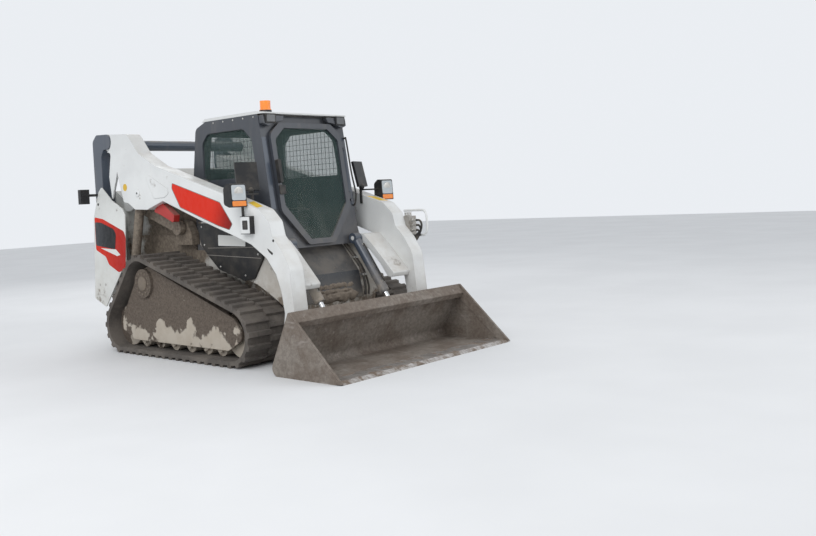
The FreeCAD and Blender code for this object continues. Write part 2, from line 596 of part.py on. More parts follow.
leg_box = slab("leg_box", [
    (680, 890), (690, 985, 20), (765, 985, 20), (880, 880, 40), (1110, 640, 20), (1095, 600, 10),
    (1041, 608), (960, 720), (830, 850, 40)], "Sizes.tilt_y + Sizes.tilt_eye_width / 2 + 8",
    "Sizes.arm_inner - Sizes.tilt_y - Sizes.tilt_eye_width / 2 - 7")
tilt_pin = rod_along_y("tilt_base_pin", "Sizes.tilt_base_x", "Sizes.tilt_base_z", "20",
                       "Sizes.tilt_y - Sizes.tilt_eye_width / 2", "Sizes.tilt_eye_width + 30")
right_arm = keep("arm_right", fuse("arm", cut(
    "arm_cut", beam, cylinder_slot, outer_notch, inner_cheek, outer_cheek), leg_box, tilt_pin))
keep("arm_left", mirror("arm_left", right_arm))
keep("cross_tube", rod_along_y("cross_tube", "Sizes.cross_tube_x", "Sizes.cross_tube_z",
                               "Sizes.cross_tube_radius", "-Sizes.arm_inner", "2 * Sizes.arm_inner"))

# Lamps on brackets outside the arms, and mirrors on posts inside them
arm_face = "Sizes.arm_inner + Sizes.arm_width"
lamp_bracket = block("lamp_bracket", (632, f"-({arm_face}) - 45", 1062), (755, f"-({arm_face})", 1205))
lamp_stem = block("lamp_stem", (647, -823, 1200), (663, -807, 1300))
lamp_body = slab("lamp_body", [
    (v.lamp_x - 55, v.lamp_z - 70, 30), (v.lamp_x + 10, v.lamp_z - 95, 10),
    (v.lamp_x + 45, v.lamp_z - 95, 10), (v.lamp_x + 35, v.lamp_z + 95, 15),
    (v.lamp_x - 10, v.lamp_z + 95, 20), (v.lamp_x - 55, v.lamp_z + 60, 30)],
    "Sizes.lamp_y - Sizes.lamp_width / 2", "Sizes.lamp_width")
lamp_tie = block("lamp_tie", (569.2, -643, 1375), (640, -629, 1389))
lamp_tie_end = block("lamp_tie_end", (626, "-Sizes.lamp_y + Sizes.lamp_width / 2 - 5", 1375), (640, -629, 1389))
keep("arm_lamps", pair("arm_lamps", fuse(
    "arm_lamp", lamp_bracket, lamp_body, lamp_stem, lamp_tie, lamp_tie_end)))
mirror_post = block("mirror_post", (551, "-Sizes.arm_inner", 1255), (569, "-Sizes.arm_inner + 18", 1430))
mirror_plate = doc.addObject("Part::Box", "mirror_plate")
mirror_plate.setExpression("Length", "Sizes.mirror_thickness")
mirror_plate.setExpression("Width", "Sizes.mirror_width")
mirror_plate.setExpression("Height", "Sizes.mirror_height")
mirror_turn = Rotation(Vector(0, 0, 1), -20) * Rotation(Vector(0, 1, 0), -12)
mirror_plate.Placement = Placement(Vector(553, -668, 1412), mirror_turn) * Placement(
    Vector(-v.mirror_thickness / 2, -v.mirror_width / 2, 0), Rotation())
keep("mirrors", pair("mirrors", fuse("mirror_set", mirror_post, mirror_plate)))

# Hydraulic coupler block and its tubular guard, on the left arm only
keep("coupler_block", block("coupler_block", (900, "Sizes.arm_inner + Sizes.arm_width", 952.3),
                            (1010, 880, 1120)))
guard_bar = slab("guard_bar", [(880, 930, 20), (1160, 930, 60), (1160, 1180, 60), (880, 1180, 20)],
                 "-880", "22")
guard_gap = slab("guard_gap", [(850, 952), (1138, 952, 40), (1138, 1158, 40), (850, 1158)], "-900", "60")
keep("guard_loop", cut("guard_loop", guard_bar, guard_gap))
keep("arm_support", slab("arm_support", [
    (-760, 1280, 15), (-690, 1321.1), (-600, 1345.7), (-430, 1235, 15), (-450, 1170, 15), (-635, 1243)],
    "Sizes.arm_inner + 30", "60"))

# Rear links: a forked head on the arm's tongue, and a foot on the upright's pin
link_x, link_z = at("link_pivot")
link_beam = slab("rear_link_beam", [
    (arm_x + 70, arm_z + 70, 66), (-1620, 2045, 40), (-1692, 1985, 50), (-1690, 1700),
    (link_x - 55, link_z - 55, 52), (link_x + 55, link_z - 55, 52), (-1545, 1450), (-1545, 1830, 60),
    (arm_x - 60, arm_z - 70, 30), (arm_x + 70, arm_z - 70, 66)], "Sizes.link_near", "Sizes.link_width",
    holes=[(link_x, link_z, v.pivot_pin_radius + v.pin_clearance)])
fork_room = rod_along_y("fork_room", "Sizes.arm_pivot_x", "Sizes.arm_pivot_z", "Sizes.cheek_radius + 30",
                        "Sizes.link_near + (Sizes.link_width - Sizes.tongue_width) / 2 - 5",
                        "Sizes.tongue_width + 10")
head_pin = rod_along_y("head_pin", "Sizes.arm_pivot_x", "Sizes.arm_pivot_z", "Sizes.pivot_pin_radius",
                       "Sizes.link_near", "Sizes.link_width")
keep("rear_links", pair("rear_links", fuse("rear_link", cut(
    "rear_link_cut", link_beam, fork_room), head_pin)))


def bar_between(name, start, end, start_radius, end_radius, waist, near, width, bores):
    """A link with a boss at each end and a straight waist."""
    (ax, az), (bx, bz) = start, end
    length = math.hypot(bx - ax, bz - az)
    nx, nz = -(bz - az) / length * waist, (bx - ax) / length * waist
    web = slab(name + "_web", [(ax + nx, az + nz), (bx + nx, bz + nz), (bx - nx, bz - nz), (ax - nx, az - nz)],
               near, width)
    ends = [rod_along_y(name + "_start", str(ax), str(az), str(start_radius), near, width),
            rod_along_y(name + "_end", str(bx), str(bz), str(end_radius), near, width)]
    holes = [rod_along_y(f"{name}_bore_{i}", str(x), str(z), str(radius), f"{near} - 5", f"{width} + 10")
             for i, (x, z, radius) in enumerate(bores)]
    return cut(name, fuse(name + "_body", web, *ends), *holes)


# Control links, from the tub's bracket up to a pin beside the arm
control = bar_between("control_link", at("control_pivot"), at("control_pin"), 65, 60, 42,
                      "Sizes.control_near", "Sizes.control_width",
                      [(*at("control_pivot"), v.pivot_pin_radius + v.pin_clearance)])
control_boss = rod_along_y("control_boss", "Sizes.control_pin_x", "Sizes.control_pin_z", "35",
                           "Sizes.control_near + 10", "Sizes.control_width - 4")
keep("control_links", pair("control_links", fuse("control_link_set", control, control_boss)))


# Cylinders: a barrel with a base eye and a bored end, and a rod with an eye

def cylinder_set(label, start, end, y, barrel_radius, barrel_length, rod_radius, eye_radius,
                 eye_width, pin_radius, rod_inset, end_room):
    (ax, az), (bx, bz) = start, end
    length = math.hypot(bx - ax, bz - az)
    turn = math.degrees(math.atan2(bx - ax, bz - az))
    place = Placement(Vector(ax, -y, az), Rotation(Vector(0, 1, 0), turn))
    flat = Rotation(Vector(1, 0, 0), 90)

    def tube(name, radius, low, high):
        part = doc.addObject("Part::Cylinder", name)
        part.Radius = radius
        part.Height = high - low
        part.Placement = place * Placement(Vector(0, 0, low), Rotation())
        return part

    def eye(name, radius, along, width):
        part = doc.addObject("Part::Cylinder", name)
        part.Radius = radius
        part.Height = width
        part.Placement = place * Placement(Vector(0, width / 2, along), flat)
        return part

    base_eye = eye(label + "_base_eye", eye_radius, 0, eye_width)
    pin_hole = eye(label + "_pin_hole", pin_radius + v.pin_clearance, 0, eye_width + 2)
    barrel = tube(label + "_barrel", barrel_radius, eye_radius - 12, barrel_length)
    gland = tube(label + "_gland", barrel_radius + 2, barrel_length - 45, barrel_length - 8)
    bore = tube(label + "_bore", rod_radius + v.pin_clearance, rod_inset - end_room, barrel_length + 5)
    barrel_part = cut(label + "_barrel_cut", fuse(label + "_barrel_set", base_eye, barrel, gland),
                      pin_hole, bore)
    rod = tube(label + "_rod", rod_radius, rod_inset, length)
    rod_eye = eye(label + "_rod_eye", eye_radius - 4, length, eye_width)
    rod_part = fuse(label + "_rod_set", rod, rod_eye)
    return barrel_part, rod_part


lift_barrel, lift_rod = cylinder_set(
    "lift", at("lift_base"), at("lift_pin"), v.lift_y, v.lift_barrel_radius, v.lift_barrel_length,
    v.lift_rod_radius, v.eye_radius, v.eye_width, v.pivot_pin_radius, 110, 20)
keep("lift_barrels", pair("lift_barrels", lift_barrel))
keep("lift_rods", pair("lift_rods", lift_rod))
tilt_barrel, tilt_rod = cylinder_set(
    "tilt", at("tilt_base"), at("tilt_pin"), v.tilt_y, v.tilt_barrel_radius, v.tilt_barrel_length,
    v.tilt_rod_radius, v.tilt_eye_radius + 4, v.tilt_eye_width, 20, 150, 80)
keep("tilt_barrels", pair("tilt_barrels", tilt_barrel))
keep("tilt_rods", pair("tilt_rods", tilt_rod))


# Bucket: a bent shell between two side plates, and a cutting edge

heel = Vector(v.heel_x, 0, 0)
up_back = Vector(v.bucket_top_x - v.heel_x, v.bucket_top_z, 0).normalize()
off_back = Vector(-up_back.y, up_back.x, 0)


def on_back(up, off, radius=0):
    """A point measured up the bucket's back from its heel, and off it to the rear."""
    spot = heel + up_back * up + off_back * off
    return (spot.x, spot.y, radius)


back_length = math.hypot(v.bucket_top_x - v.heel_x, v.bucket_top_z)
edge_x = v.tip_x - v.edge_length
plate = v.bucket_plate
shell = slab("bucket_bend", [
    (v.heel_x, 0, 60), (edge_x, 0), (edge_x, plate), (v.heel_x + plate * 1.9, plate, 50),
    on_back(back_length - 105, -plate), on_back(back_length - 100, -75, 8),
    on_back(back_length - 40, -85, 8), on_back(back_length, 0)],
    "-Sizes.bucket_width / 2 + Sizes.side_plate", "Sizes.bucket_width - 2 * Sizes.side_plate")
side_plate = slab("bucket_side", [
    (v.heel_x, 0, 60), (v.tip_x - 90, 0), (v.tip_x, 8), (v.bucket_top_x + 12, v.bucket_top_z - 2, 10),
    on_back(back_length, 0)], "Sizes.bucket_width / 2 - Sizes.side_plate", "Sizes.side_plate")
side_rib = slab("side_rib", [
    (v.tip_x - 100, 0), (v.tip_x, 8), (v.bucket_top_x + 12, v.bucket_top_z - 2),
    (v.bucket_top_x - 25, v.bucket_top_z - 100)],
    "Sizes.bucket_width / 2 - Sizes.side_plate - 8", "Sizes.side_plate + 8")
keep("bucket_shell", fuse("bucket", shell, side_plate, mirror("side_plate_left", side_plate),
                          side_rib, mirror("side_rib_left", side_rib)))
keep("cutting_edge", slab("cutting_edge", [
    (edge_x + 0.3, 0), (v.tip_x, 0), (v.tip_x, 3), (v.tip_x - 45, v.edge_thickness),
    (edge_x + 0.3, v.edge_thickness)], "-Sizes.bucket_width / 2 + Sizes.side_plate + 8.5",
    "Sizes.bucket_width - 2 * Sizes.side_plate - 17"))

# Quick coupler: a plate on the bucket's back, a tube through the arms' pins, and ears for the rods
mount_plate = slab("coupler_face", [
    on_back(60, v.coupler_gap), on_back(back_length - 30, v.coupler_gap),
    on_back(back_length - 30, v.coupler_plate, 15), on_back(60, v.coupler_plate, 15)],
    "-Sizes.coupler_half", "2 * Sizes.coupler_half")
tube = rod_along_y("coupler_tube", "Sizes.bucket_pivot_x", "Sizes.bucket_pivot_z", "48",
                   "-Sizes.arm_inner + 6", "2 * Sizes.arm_inner - 12")
EAR = [on_back(70, 20), on_back(40, 60, 20), (tip_x - 50, tip_z - 40, 40),
       (v.tilt_pin_x - 55, v.tilt_pin_z + 10, 45), (v.tilt_pin_x + 5, v.tilt_pin_z + 60, 45),
       on_back(back_length - 40, 20)]
ear_gap = "(Sizes.tilt_eye_width / 2 + Sizes.tilt_ear_gap)"
inner_ear = slab("inner_ear", EAR, f"Sizes.tilt_y - {ear_gap} - Sizes.tilt_ear", "Sizes.tilt_ear")
outer_ear = slab("outer_ear", EAR, f"Sizes.tilt_y + {ear_gap}", "Sizes.tilt_ear")
end_ear = slab("end_ear", [
    on_back(70, 20), on_back(40, 60, 20), (tip_x - 50, tip_z - 40, 40), (tip_x - 50, tip_z + 50, 40),
    on_back(240, 20)], "Sizes.coupler_half - 15", "15")
stub = rod_along_y("coupler_pin", "Sizes.bucket_pivot_x", "Sizes.bucket_pivot_z",
                   "Sizes.bucket_pin_radius", "Sizes.arm_inner - 8", "Sizes.arm_width + 12")
coupler_sides = [inner_ear, outer_ear, end_ear, stub]
keep("quick_coupler", fuse("coupler", mount_plate, tube, *coupler_sides,
                           *[mirror(part.Name + "_left", part) for part in coupler_sides]))

# Door
rim = slab("door_rim", door_outline(0), "Sizes.door_gap", "Sizes.door_thickness", "YZ_Plane")
pane_hole = slab("door_pane_hole", door_outline(v.door_rim), "0", "60", "YZ_Plane")
knuckles = []
for i, up in enumerate(HINGE_Z):
    leaf = block(f"door_leaf_{i}", ("Sizes.door_gap + 4", 395, up - 30),
                 ("Sizes.door_gap + Sizes.door_thickness - 4", "Sizes.door_hinge_y", up + 30))
    barrel = doc.addObject("Part::Cylinder", f"door_knuckle_{i}")
    barrel.setExpression("Radius", "Sizes.door_hinge_radius")
    barrel.Height = 60
    barrel.Placement.Base = Vector(v.door_gap + v.door_thickness / 2, v.door_hinge_y, up - 30)
    bore = doc.addObject("Part::Cylinder", f"door_bore_{i}")
    bore.setExpression("Radius", "Sizes.hinge_pin_radius + Sizes.pin_clearance")
    bore.Height = 80
    bore.Placement.Base = Vector(v.door_gap + v.door_thickness / 2, v.door_hinge_y, up - 40)
    knuckles.append(cut(f"door_hinge_leaf_{i}", fuse(f"door_leaf_set_{i}", leaf, barrel), bore))
keep("door_frame", leaning(fuse("door_frame_set", cut("door_rim_cut", rim, pane_hole), *knuckles)))
keep("door_glass", leaning(slab("door_pane", door_outline(v.door_rim + 0.3),
                                "Sizes.door_gap + 10", "Sizes.glass_thickness", "YZ_Plane")))
handle_grip = slab("handle_grip", [(-405, 560, 12), (-372, 560, 12), (-372, 760, 12), (-405, 760, 12)],
                   "Sizes.door_gap + Sizes.door_thickness + 0.3", "40", "YZ_Plane")
keep("door_handle", leaning(handle_grip))

# Tailgate: a shallow bowl hinged at the machine's left
tail = v.tailgate_x
half = v.tailgate_half_width
depth = v.tailgate_depth
skin = v.tailgate_wall
gate_outside = slab("gate_outside", [
    (tail, -half), (tail, half), (tail - depth + 35, half, 40), (tail - depth, half - 160, 60),
    (tail - depth, -half + 160, 60), (tail - depth + 35, -half, 40)],
    "Sizes.tailgate_bottom_z", "Sizes.tailgate_top_z - Sizes.tailgate_bottom_z", "XY_Plane")
gate_inside = slab("gate_inside", [
    (tail + 10, -half + skin), (tail + 10, half - 60), (tail - depth + 35 + skin, half - 60, 20),
    (tail - depth + skin, half - 160, 40), (tail - depth + skin, -half + 160, 50),
    (tail - depth + 35 + skin, -half + skin, 25)],
    "Sizes.tailgate_bottom_z + Sizes.tailgate_wall",
    "Sizes.tailgate_top_z - Sizes.tailgate_bottom_z - 2 * Sizes.tailgate_wall", "XY_Plane")
gate_bores = []
for i, z in enumerate(GATE_HINGE_Z):
    bore = doc.addObject("Part::Cylinder", f"gate_bore_{i}")
    bore.setExpression("Radius", "Sizes.hinge_pin_radius + Sizes.pin_clearance")
    bore.Height = 100
    bore.setExpression("Placement.Base.x", "Sizes.tailgate_x")
    bore.Placement.Base.y = 463
    bore.Placement.Base.z = z - 31
    gate_bores.append(bore)
    gate_bores.append(block(f"gate_notch_{i}", ("Sizes.tailgate_x - 30", 432, z - 70),
                            ("Sizes.tailgate_x + 30", 490, z - 26)))
keep("tailgate", cut("tailgate", gate_outside, gate_inside, *gate_bores))

# Beacon and work lamps
beacon_base = doc.addObject("Part::Cylinder", "beacon_base")
beacon_base.Radius = 52
beacon_base.Height = 25
beacon_base.Placement.Base = Vector(400, -316, v.cab_top_z + 26.3)
beacon_dome = doc.addObject("Part::Cylinder", "beacon_dome")
beacon_dome.Radius = 46
beacon_dome.Height = 75
beacon_dome.Placement.Base = Vector(400, -316, v.cab_top_z + 51.3)
keep("beacon", fuse("beacon_set", beacon_base, beacon_dome))
roof_lamp = block("roof_lamp", ("Sizes.cab_front_x + 12", -460, 1975), ("Sizes.cab_front_x + 72", -350, 2055))
keep("roof_lamps", pair("roof_lamps", roof_lamp))
lamp_arm = block("rear_lamp_arm", (-1620, -960, 1450), (-1595, "-Sizes.cover_near - Sizes.cover_thickness", 1475))
lamp_box = block("rear_lamp_box", (-1650, -980, 1380), (-1600, -890, 1520))
keep("rear_lamps", pair("rear_lamps", fuse("rear_lamp", lamp_arm, lamp_box)))

doc.recompute()
os.makedirs("parts", exist_ok=True)
faults = [item.Label for item in doc.Objects if "Invalid" in item.State or "Error" in item.State]
for label, thing in nodes.items():
    shape = thing.Shape
    if shape.isNull() or not shape.isValid() or not shape.Solids:
        faults.append(label)
if faults:
    raise RuntimeError("failed objects: " + ", ".join(faults))
for label, thing in nodes.items():
    thing.Shape.exportStep(f"parts/{label}.step")
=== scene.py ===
import json
import math
import bmesh
import bpy
from mathutils import Matrix, Vector, noise


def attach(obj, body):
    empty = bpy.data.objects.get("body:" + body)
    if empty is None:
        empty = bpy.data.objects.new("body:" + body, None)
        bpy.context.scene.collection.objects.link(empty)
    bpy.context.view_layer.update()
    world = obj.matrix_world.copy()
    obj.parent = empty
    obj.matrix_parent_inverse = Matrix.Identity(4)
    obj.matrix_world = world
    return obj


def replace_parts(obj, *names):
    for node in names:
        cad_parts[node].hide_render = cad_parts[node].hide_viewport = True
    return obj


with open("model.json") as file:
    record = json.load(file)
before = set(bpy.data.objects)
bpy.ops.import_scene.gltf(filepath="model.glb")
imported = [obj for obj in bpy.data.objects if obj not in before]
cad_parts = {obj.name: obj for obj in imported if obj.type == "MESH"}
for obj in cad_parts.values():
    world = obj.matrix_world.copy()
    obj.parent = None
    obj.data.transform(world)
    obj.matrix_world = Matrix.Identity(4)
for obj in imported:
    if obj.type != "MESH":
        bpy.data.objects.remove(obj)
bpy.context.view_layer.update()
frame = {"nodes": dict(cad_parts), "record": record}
NODES = frame["nodes"]

# Metres, in the CAD model's frame: +X forward to the bucket, +Y to the machine's left, +Z up.
# Outer faces that pieces lie on, as distances from the middle plane.
ARM_FACE = 0.785
COVER_FACE = 0.805
SIDE_FACE = 0.594
CAB_FACE = 0.487
BRACKET_FACE = 0.830
HUB_FACE = 0.930

HUB_X, HUB_Z = -0.690, 0.640            # axis of the drive hubs
BELLY_X, BELLY_Z = -0.80, 1.04          # middle of the mud thrown up between arm and track
COUPLER_HEIGHTS = (0.99, 1.035, 1.08)   # the three hose couplings on the left arm
RIGHT = (0, -1, 0)
UP = (0, 0, 1)
FILM = 0.0012                           # height of a painted mark
SHARP = math.radians(38)                # edges that turn further stay sharp

# The grid, pressure and frames of the cushions' cloth simulation, and their seams.
VOXEL = 0.007
PRESSURE = 4.0
CLOTH_STEPS = 20
SEAM_AT = 0.58                          # share of a cushion's half width
SEAM_WIDTH, SEAM_DEPTH = 0.012, 0.008

# Colours, as linear red, green and blue.
DUST = (0.42, 0.36, 0.29)
MUD = (0.16, 0.125, 0.095)
DRY_MUD = (0.30, 0.25, 0.20)


# Materials

def darker(color, share):
    return tuple(c * share for c in color)


class Shader:
    """One Principled material and short calls for the nodes that feed it."""

    def __init__(self, name, edge=0.003):
        """Edge is the radius of the worn edges in the shading. None leaves the normals alone."""
        self.material = bpy.data.materials.new(name)
        self.material.use_nodes = True
        self.tree = self.material.node_tree
        self.principled = self.tree.nodes["Principled BSDF"]
        self.place = self.node("ShaderNodeTexCoord").outputs["Object"]
        self.x, self.y, self.z = self.split(self.place)
        self.up = self.split(self.node("ShaderNodeNewGeometry").outputs["Normal"])[2]
        self.edge = None
        if edge is not None:
            soft = self.node("ShaderNodeBevel", samples=4)
            soft.inputs["Radius"].default_value = edge
            self.edge = soft.outputs[0]

    def node(self, kind, **settings):
        made = self.tree.nodes.new(kind)
        for key, value in settings.items():
            setattr(made, key, value)
        return made

    def join(self, value, socket):
        """Links an output to a socket, or sets the socket to a plain value."""
        if isinstance(value, bpy.types.NodeSocket):
            self.tree.links.new(value, socket)
        else:
            socket.default_value = value

    def tint(self, color, socket):
        """The same for a colour."""
        self.join(color if isinstance(color, bpy.types.NodeSocket) else (*color, 1.0), socket)

    def split(self, vector):
        made = self.node("ShaderNodeSeparateXYZ")
        self.join(vector, made.inputs[0])
        return made.outputs

    def math(self, operation, a, b=0.0, clamp=False):
        made = self.node("ShaderNodeMath", operation=operation, use_clamp=clamp)
        self.join(a, made.inputs[0])
        self.join(b, made.inputs[1])
        return made.outputs[0]

    def plus(self, a, b, clamp=False):
        return self.math("ADD", a, b, clamp)

    def less(self, a, b):
        return self.math("SUBTRACT", a, b)

    def times(self, a, b, clamp=False):
        return self.math("MULTIPLY", a, b, clamp)

    def squared(self, a):
        return self.math("POWER", a, 2.0)

    def scaled(self, stretch):
        """Object coordinates stretched along each axis."""
        made = self.node("ShaderNodeMapping")
        made.inputs["Scale"].default_value = stretch
        self.join(self.place, made.inputs["Vector"])
        return made.outputs[0]

    def noise(self, scale, detail, rough=0.55, where=None, shift=0.0):
        made = self.node("ShaderNodeTexNoise", noise_dimensions="4D")
        self.join(where or self.place, made.inputs["Vector"])
        for socket, value in (("W", shift), ("Scale", scale), ("Detail", detail), ("Roughness", rough)):
            made.inputs[socket].default_value = value
        return made.outputs["Fac"]

    def bands(self, scale, direction, distortion=0.0):
        made = self.node("ShaderNodeTexWave", wave_type="BANDS", bands_direction=direction)
        made.inputs["Scale"].default_value = scale
        made.inputs["Distortion"].default_value = distortion
        self.join(self.place, made.inputs["Vector"])
        return made.outputs["Fac"]

    def fade(self, value, low, high, start=0.0, end=1.0):
        """Maps low..high of a value to start..end, smoothly and clamped."""
        made = self.node("ShaderNodeMapRange", interpolation_type="SMOOTHSTEP")
        self.join(value, made.inputs[0])
        for socket, number in zip(made.inputs[1:5], (low, high, start, end)):
            self.join(number, socket)
        return made.outputs[0]

    def blend(self, share, a, b):
        made = self.node("ShaderNodeMix", data_type="RGBA")
        self.join(share, made.inputs[0])
        self.tint(a, made.inputs[6])
        self.tint(b, made.inputs[7])
        return made.outputs[2]

    def mottle(self, pattern, a, b, low=0.3, high=0.7):
        """Two colours, mixed where a noise pattern runs from low to high."""
        return self.blend(self.fade(pattern, low, high), a, b)

    def bump(self, height, depth, strength, below=None):
        made = self.node("ShaderNodeBump")
        made.inputs["Strength"].default_value = strength
        made.inputs["Distance"].default_value = depth
        self.join(height, made.inputs["Height"])
        self.join(below or self.edge, made.inputs["Normal"])
        return made.outputs[0]

    def finish(self, color, rough, normal=None, metal=0.0, **sockets):
        self.tint(color, self.principled.inputs["Base Color"])
        self.join(rough, self.principled.inputs["Roughness"])
        self.join(metal, self.principled.inputs["Metallic"])
        normal = normal or self.edge
        if normal is not None:
            self.join(normal, self.principled.inputs["Normal"])
        for key, value in sockets.items():
            self.principled.inputs[key.replace("_", " ")].default_value = value
        return self.material


def dusty(name, paint, rough, dust, dust_low, dust_high, mud=0.0, mud_high=0.0, coat=0.0, speckle=0.25,
          edge=0.003, belly=0.0):
    """Paint that gathers dust low down and on what faces up, with mud splashes lower still. Dust fades
    out from dust_low to dust_high, and splashes end at mud_high. Belly is how thick mud lies where it
    is thrown up between arm and track."""
    s = Shader(name, edge)
    color = s.mottle(s.noise(2.3, 3.0), paint, darker(paint, 0.86))

    # A film of dust with runs in it, then single specks.
    height = s.fade(s.z, dust_low, dust_high, 1.0, 0.0)
    grime = s.plus(s.times(height, dust), s.fade(s.up, 0.2, 1.0, 0.0, 0.35))
    cloud = s.noise(6.0, 8.0, 0.62, shift=1.0)
    film = s.times(grime, s.fade(cloud, 0.34, 0.66, 0.35, 1.25), clamp=True)
    streak = s.noise(14.0, 3.0, 0.5, s.scaled((1.0, 1.0, 0.12)), shift=2.0)
    runs = s.times(s.fade(streak, 0.52, 0.72, 0.0, 0.35), s.fade(grime, 0.0, 0.4, 0.15, 1.0))
    color = s.blend(s.math("MAXIMUM", film, runs), color, DUST)
    specks = s.noise(95.0, 2.0, 0.5, shift=3.0)
    color = s.blend(s.times(s.fade(specks, 0.66, 0.72), speckle), color, MUD)
    relief = s.bump(s.noise(420.0, 2.0, shift=4.0), 0.0004, 0.25)
    gloss = s.fade(film, 0.0, 0.5, rough, 0.85)

    # Mud thrown up round one place, on what stands further in than the arms' outer faces.
    if belly > 0:
        across = s.squared(s.plus(s.x, -BELLY_X))
        upward = s.squared(s.times(s.less(s.z, BELLY_Z), 1.25))
        near = s.fade(s.math("SQRT", s.plus(across, upward)), 0.36, 0.72, belly, 0.0)
        near = s.times(near, s.fade(s.math("ABSOLUTE", s.y), ARM_FACE - 0.02, ARM_FACE, 1.0, 0.0))
        thrown = s.noise(4.2, 8.0, 0.66, shift=7.0)
        share = s.fade(s.plus(thrown, s.times(near, 0.5)), 0.62, 0.80)
        share = s.times(share, s.fade(near, 0.0, 0.3))
        clod = s.noise(30.0, 7.0, 0.7, shift=8.0)
        color = s.blend(share, color, s.mottle(clod, (0.13, 0.102, 0.078), (0.27, 0.225, 0.175)))
        relief = s.bump(s.times(share, clod), 0.008, 0.8, relief)
        gloss = s.math("MAXIMUM", gloss, s.times(share, 0.92))

    # Splashes, thicker towards the ground.
    if mud > 0:
        splash = s.noise(5.0, 9.0, 0.68, shift=5.0)
        low = s.fade(s.z, 0.1, mud_high, mud, 0.0)
        caked = s.fade(s.plus(splash, s.times(low, 0.45)), 0.62, 0.72)
        grain = s.noise(38.0, 6.0, 0.7, shift=6.0)
        color = s.blend(caked, color, s.mottle(grain, MUD, DRY_MUD))
        relief = s.bump(s.times(caked, s.fade(grain, 0.2, 0.8, 0.5, 1.0)), 0.006, 0.8, relief)
        gloss = s.math("MAXIMUM", gloss, s.times(caked, 0.92))
    return s.finish(color, gloss, relief, Coat_Weight=coat, Coat_Roughness=0.25)


def rubber_material():
    """The belts, with dried mud in patches and crumbs."""
    s = Shader("track_rubber")
    grain = s.noise(30.0, 7.0, 0.7)
    patch = s.noise(4.0, 5.0, 0.6, shift=1.0)
    color = s.mottle(grain, (0.060, 0.053, 0.048), (0.105, 0.092, 0.081))
    color = s.blend(s.fade(patch, 0.42, 0.62, 0.15, 0.7), color, (0.175, 0.152, 0.13))
    crumbs = s.noise(150.0, 3.0, 0.6, shift=2.0)
    color = s.blend(s.fade(crumbs, 0.62, 0.7, 0.0, 0.5), color, (0.27, 0.235, 0.195))
    return s.finish(color, 0.88, s.bump(crumbs, 0.002, 0.4, s.bump(grain, 0.005, 0.5)))


def caked_material(name, under, share):
    """Mud-caked steel with the paint showing through in rounded patches."""
    s = Shader(name)
    blot = s.noise(3.6, 3.0, 0.5)
    ragged = s.noise(24.0, 6.0, 0.65, shift=1.0)
    mix = s.plus(s.times(blot, 0.82), s.times(ragged, 0.18))
    low = s.fade(s.z, 0.16, 0.52, 0.09, -0.12)
    bare = s.fade(s.plus(mix, low), 1.0 - share - 0.012, 1.0 - share + 0.02)
    grain = s.noise(60.0, 7.0, 0.7, shift=2.0)
    mud = s.mottle(grain, (0.085, 0.066, 0.052), (0.175, 0.14, 0.11))
    film = s.noise(9.0, 6.0, 0.6, shift=3.0)
    paint = s.blend(s.fade(film, 0.35, 0.7, 0.1, 0.75), under, DUST)
    thick = s.times(s.less(1.0, bare), s.fade(grain, 0.2, 0.8, 0.4, 1.0))
    return s.finish(s.blend(bare, mud, paint), 0.9, s.bump(thick, 0.008, 0.9))


def bucket_material():
    """Rusty steel with dry soil, rubbed bright in streaks."""
    s = Shader("bucket_steel")
    wide = s.noise(3.0, 5.0, 0.6)
    fine = s.noise(34.0, 7.0, 0.7, shift=1.0)
    rust = s.mottle(fine, (0.125, 0.097, 0.076), (0.20, 0.165, 0.136))
    soil = s.mottle(fine, (0.175, 0.15, 0.126), (0.265, 0.232, 0.20), 0.35, 0.65)
    color = s.mottle(wide, rust, soil, 0.42, 0.6)
    rub = s.noise(22.0, 3.0, 0.5, s.scaled((0.25, 1.0, 1.0)), shift=2.0)
    shine = s.fade(rub, 0.6, 0.75, 0.0, 0.4)
    color = s.blend(shine, color, (0.46, 0.42, 0.39))
    return s.finish(color, s.less(0.78, s.times(shine, 0.4)), s.bump(fine, 0.003, 0.5), s.times(shine, 0.6))


def worn_material():
    """Bare steel, scraped along x."""
    s = Shader("worn_steel")
    drag = s.noise(60.0, 4.0, 0.6, s.scaled((0.12, 1.0, 1.0)))
    color = s.mottle(drag, (0.30, 0.26, 0.23), (0.62, 0.60, 0.58))
    dirt = s.fade(s.noise(9.0, 6.0, 0.65, shift=1.0), 0.45, 0.62)
    color = s.blend(dirt, color, (0.23, 0.18, 0.14))
    return s.finish(color, s.fade(dirt, 0.0, 1.0, 0.38, 0.85), s.bump(drag, 0.001, 0.4), 0.75)


def glass_material():
    """Green tinted glass with a dirt film that is thickest low down."""
    s = Shader("window_glass", edge=None)
    smear = s.noise(7.0, 7.0, 0.6)
    low = s.fade(s.z, 0.95, 1.4, 0.16, 0.0)
    film = s.plus(s.fade(smear, 0.45, 0.7, 0.0, 0.02), s.times(low, s.fade(smear, 0.3, 0.7)), clamp=True)
    s.join(s.plus(0.24, s.times(film, 0.6), clamp=True), s.principled.inputs["Alpha"])
    color = s.blend(film, (0.07, 0.115, 0.105), (0.62, 0.56, 0.48))
    return s.finish(color, s.fade(film, 0.0, 0.5, 0.03, 0.5), Specular_IOR_Level=0.12)


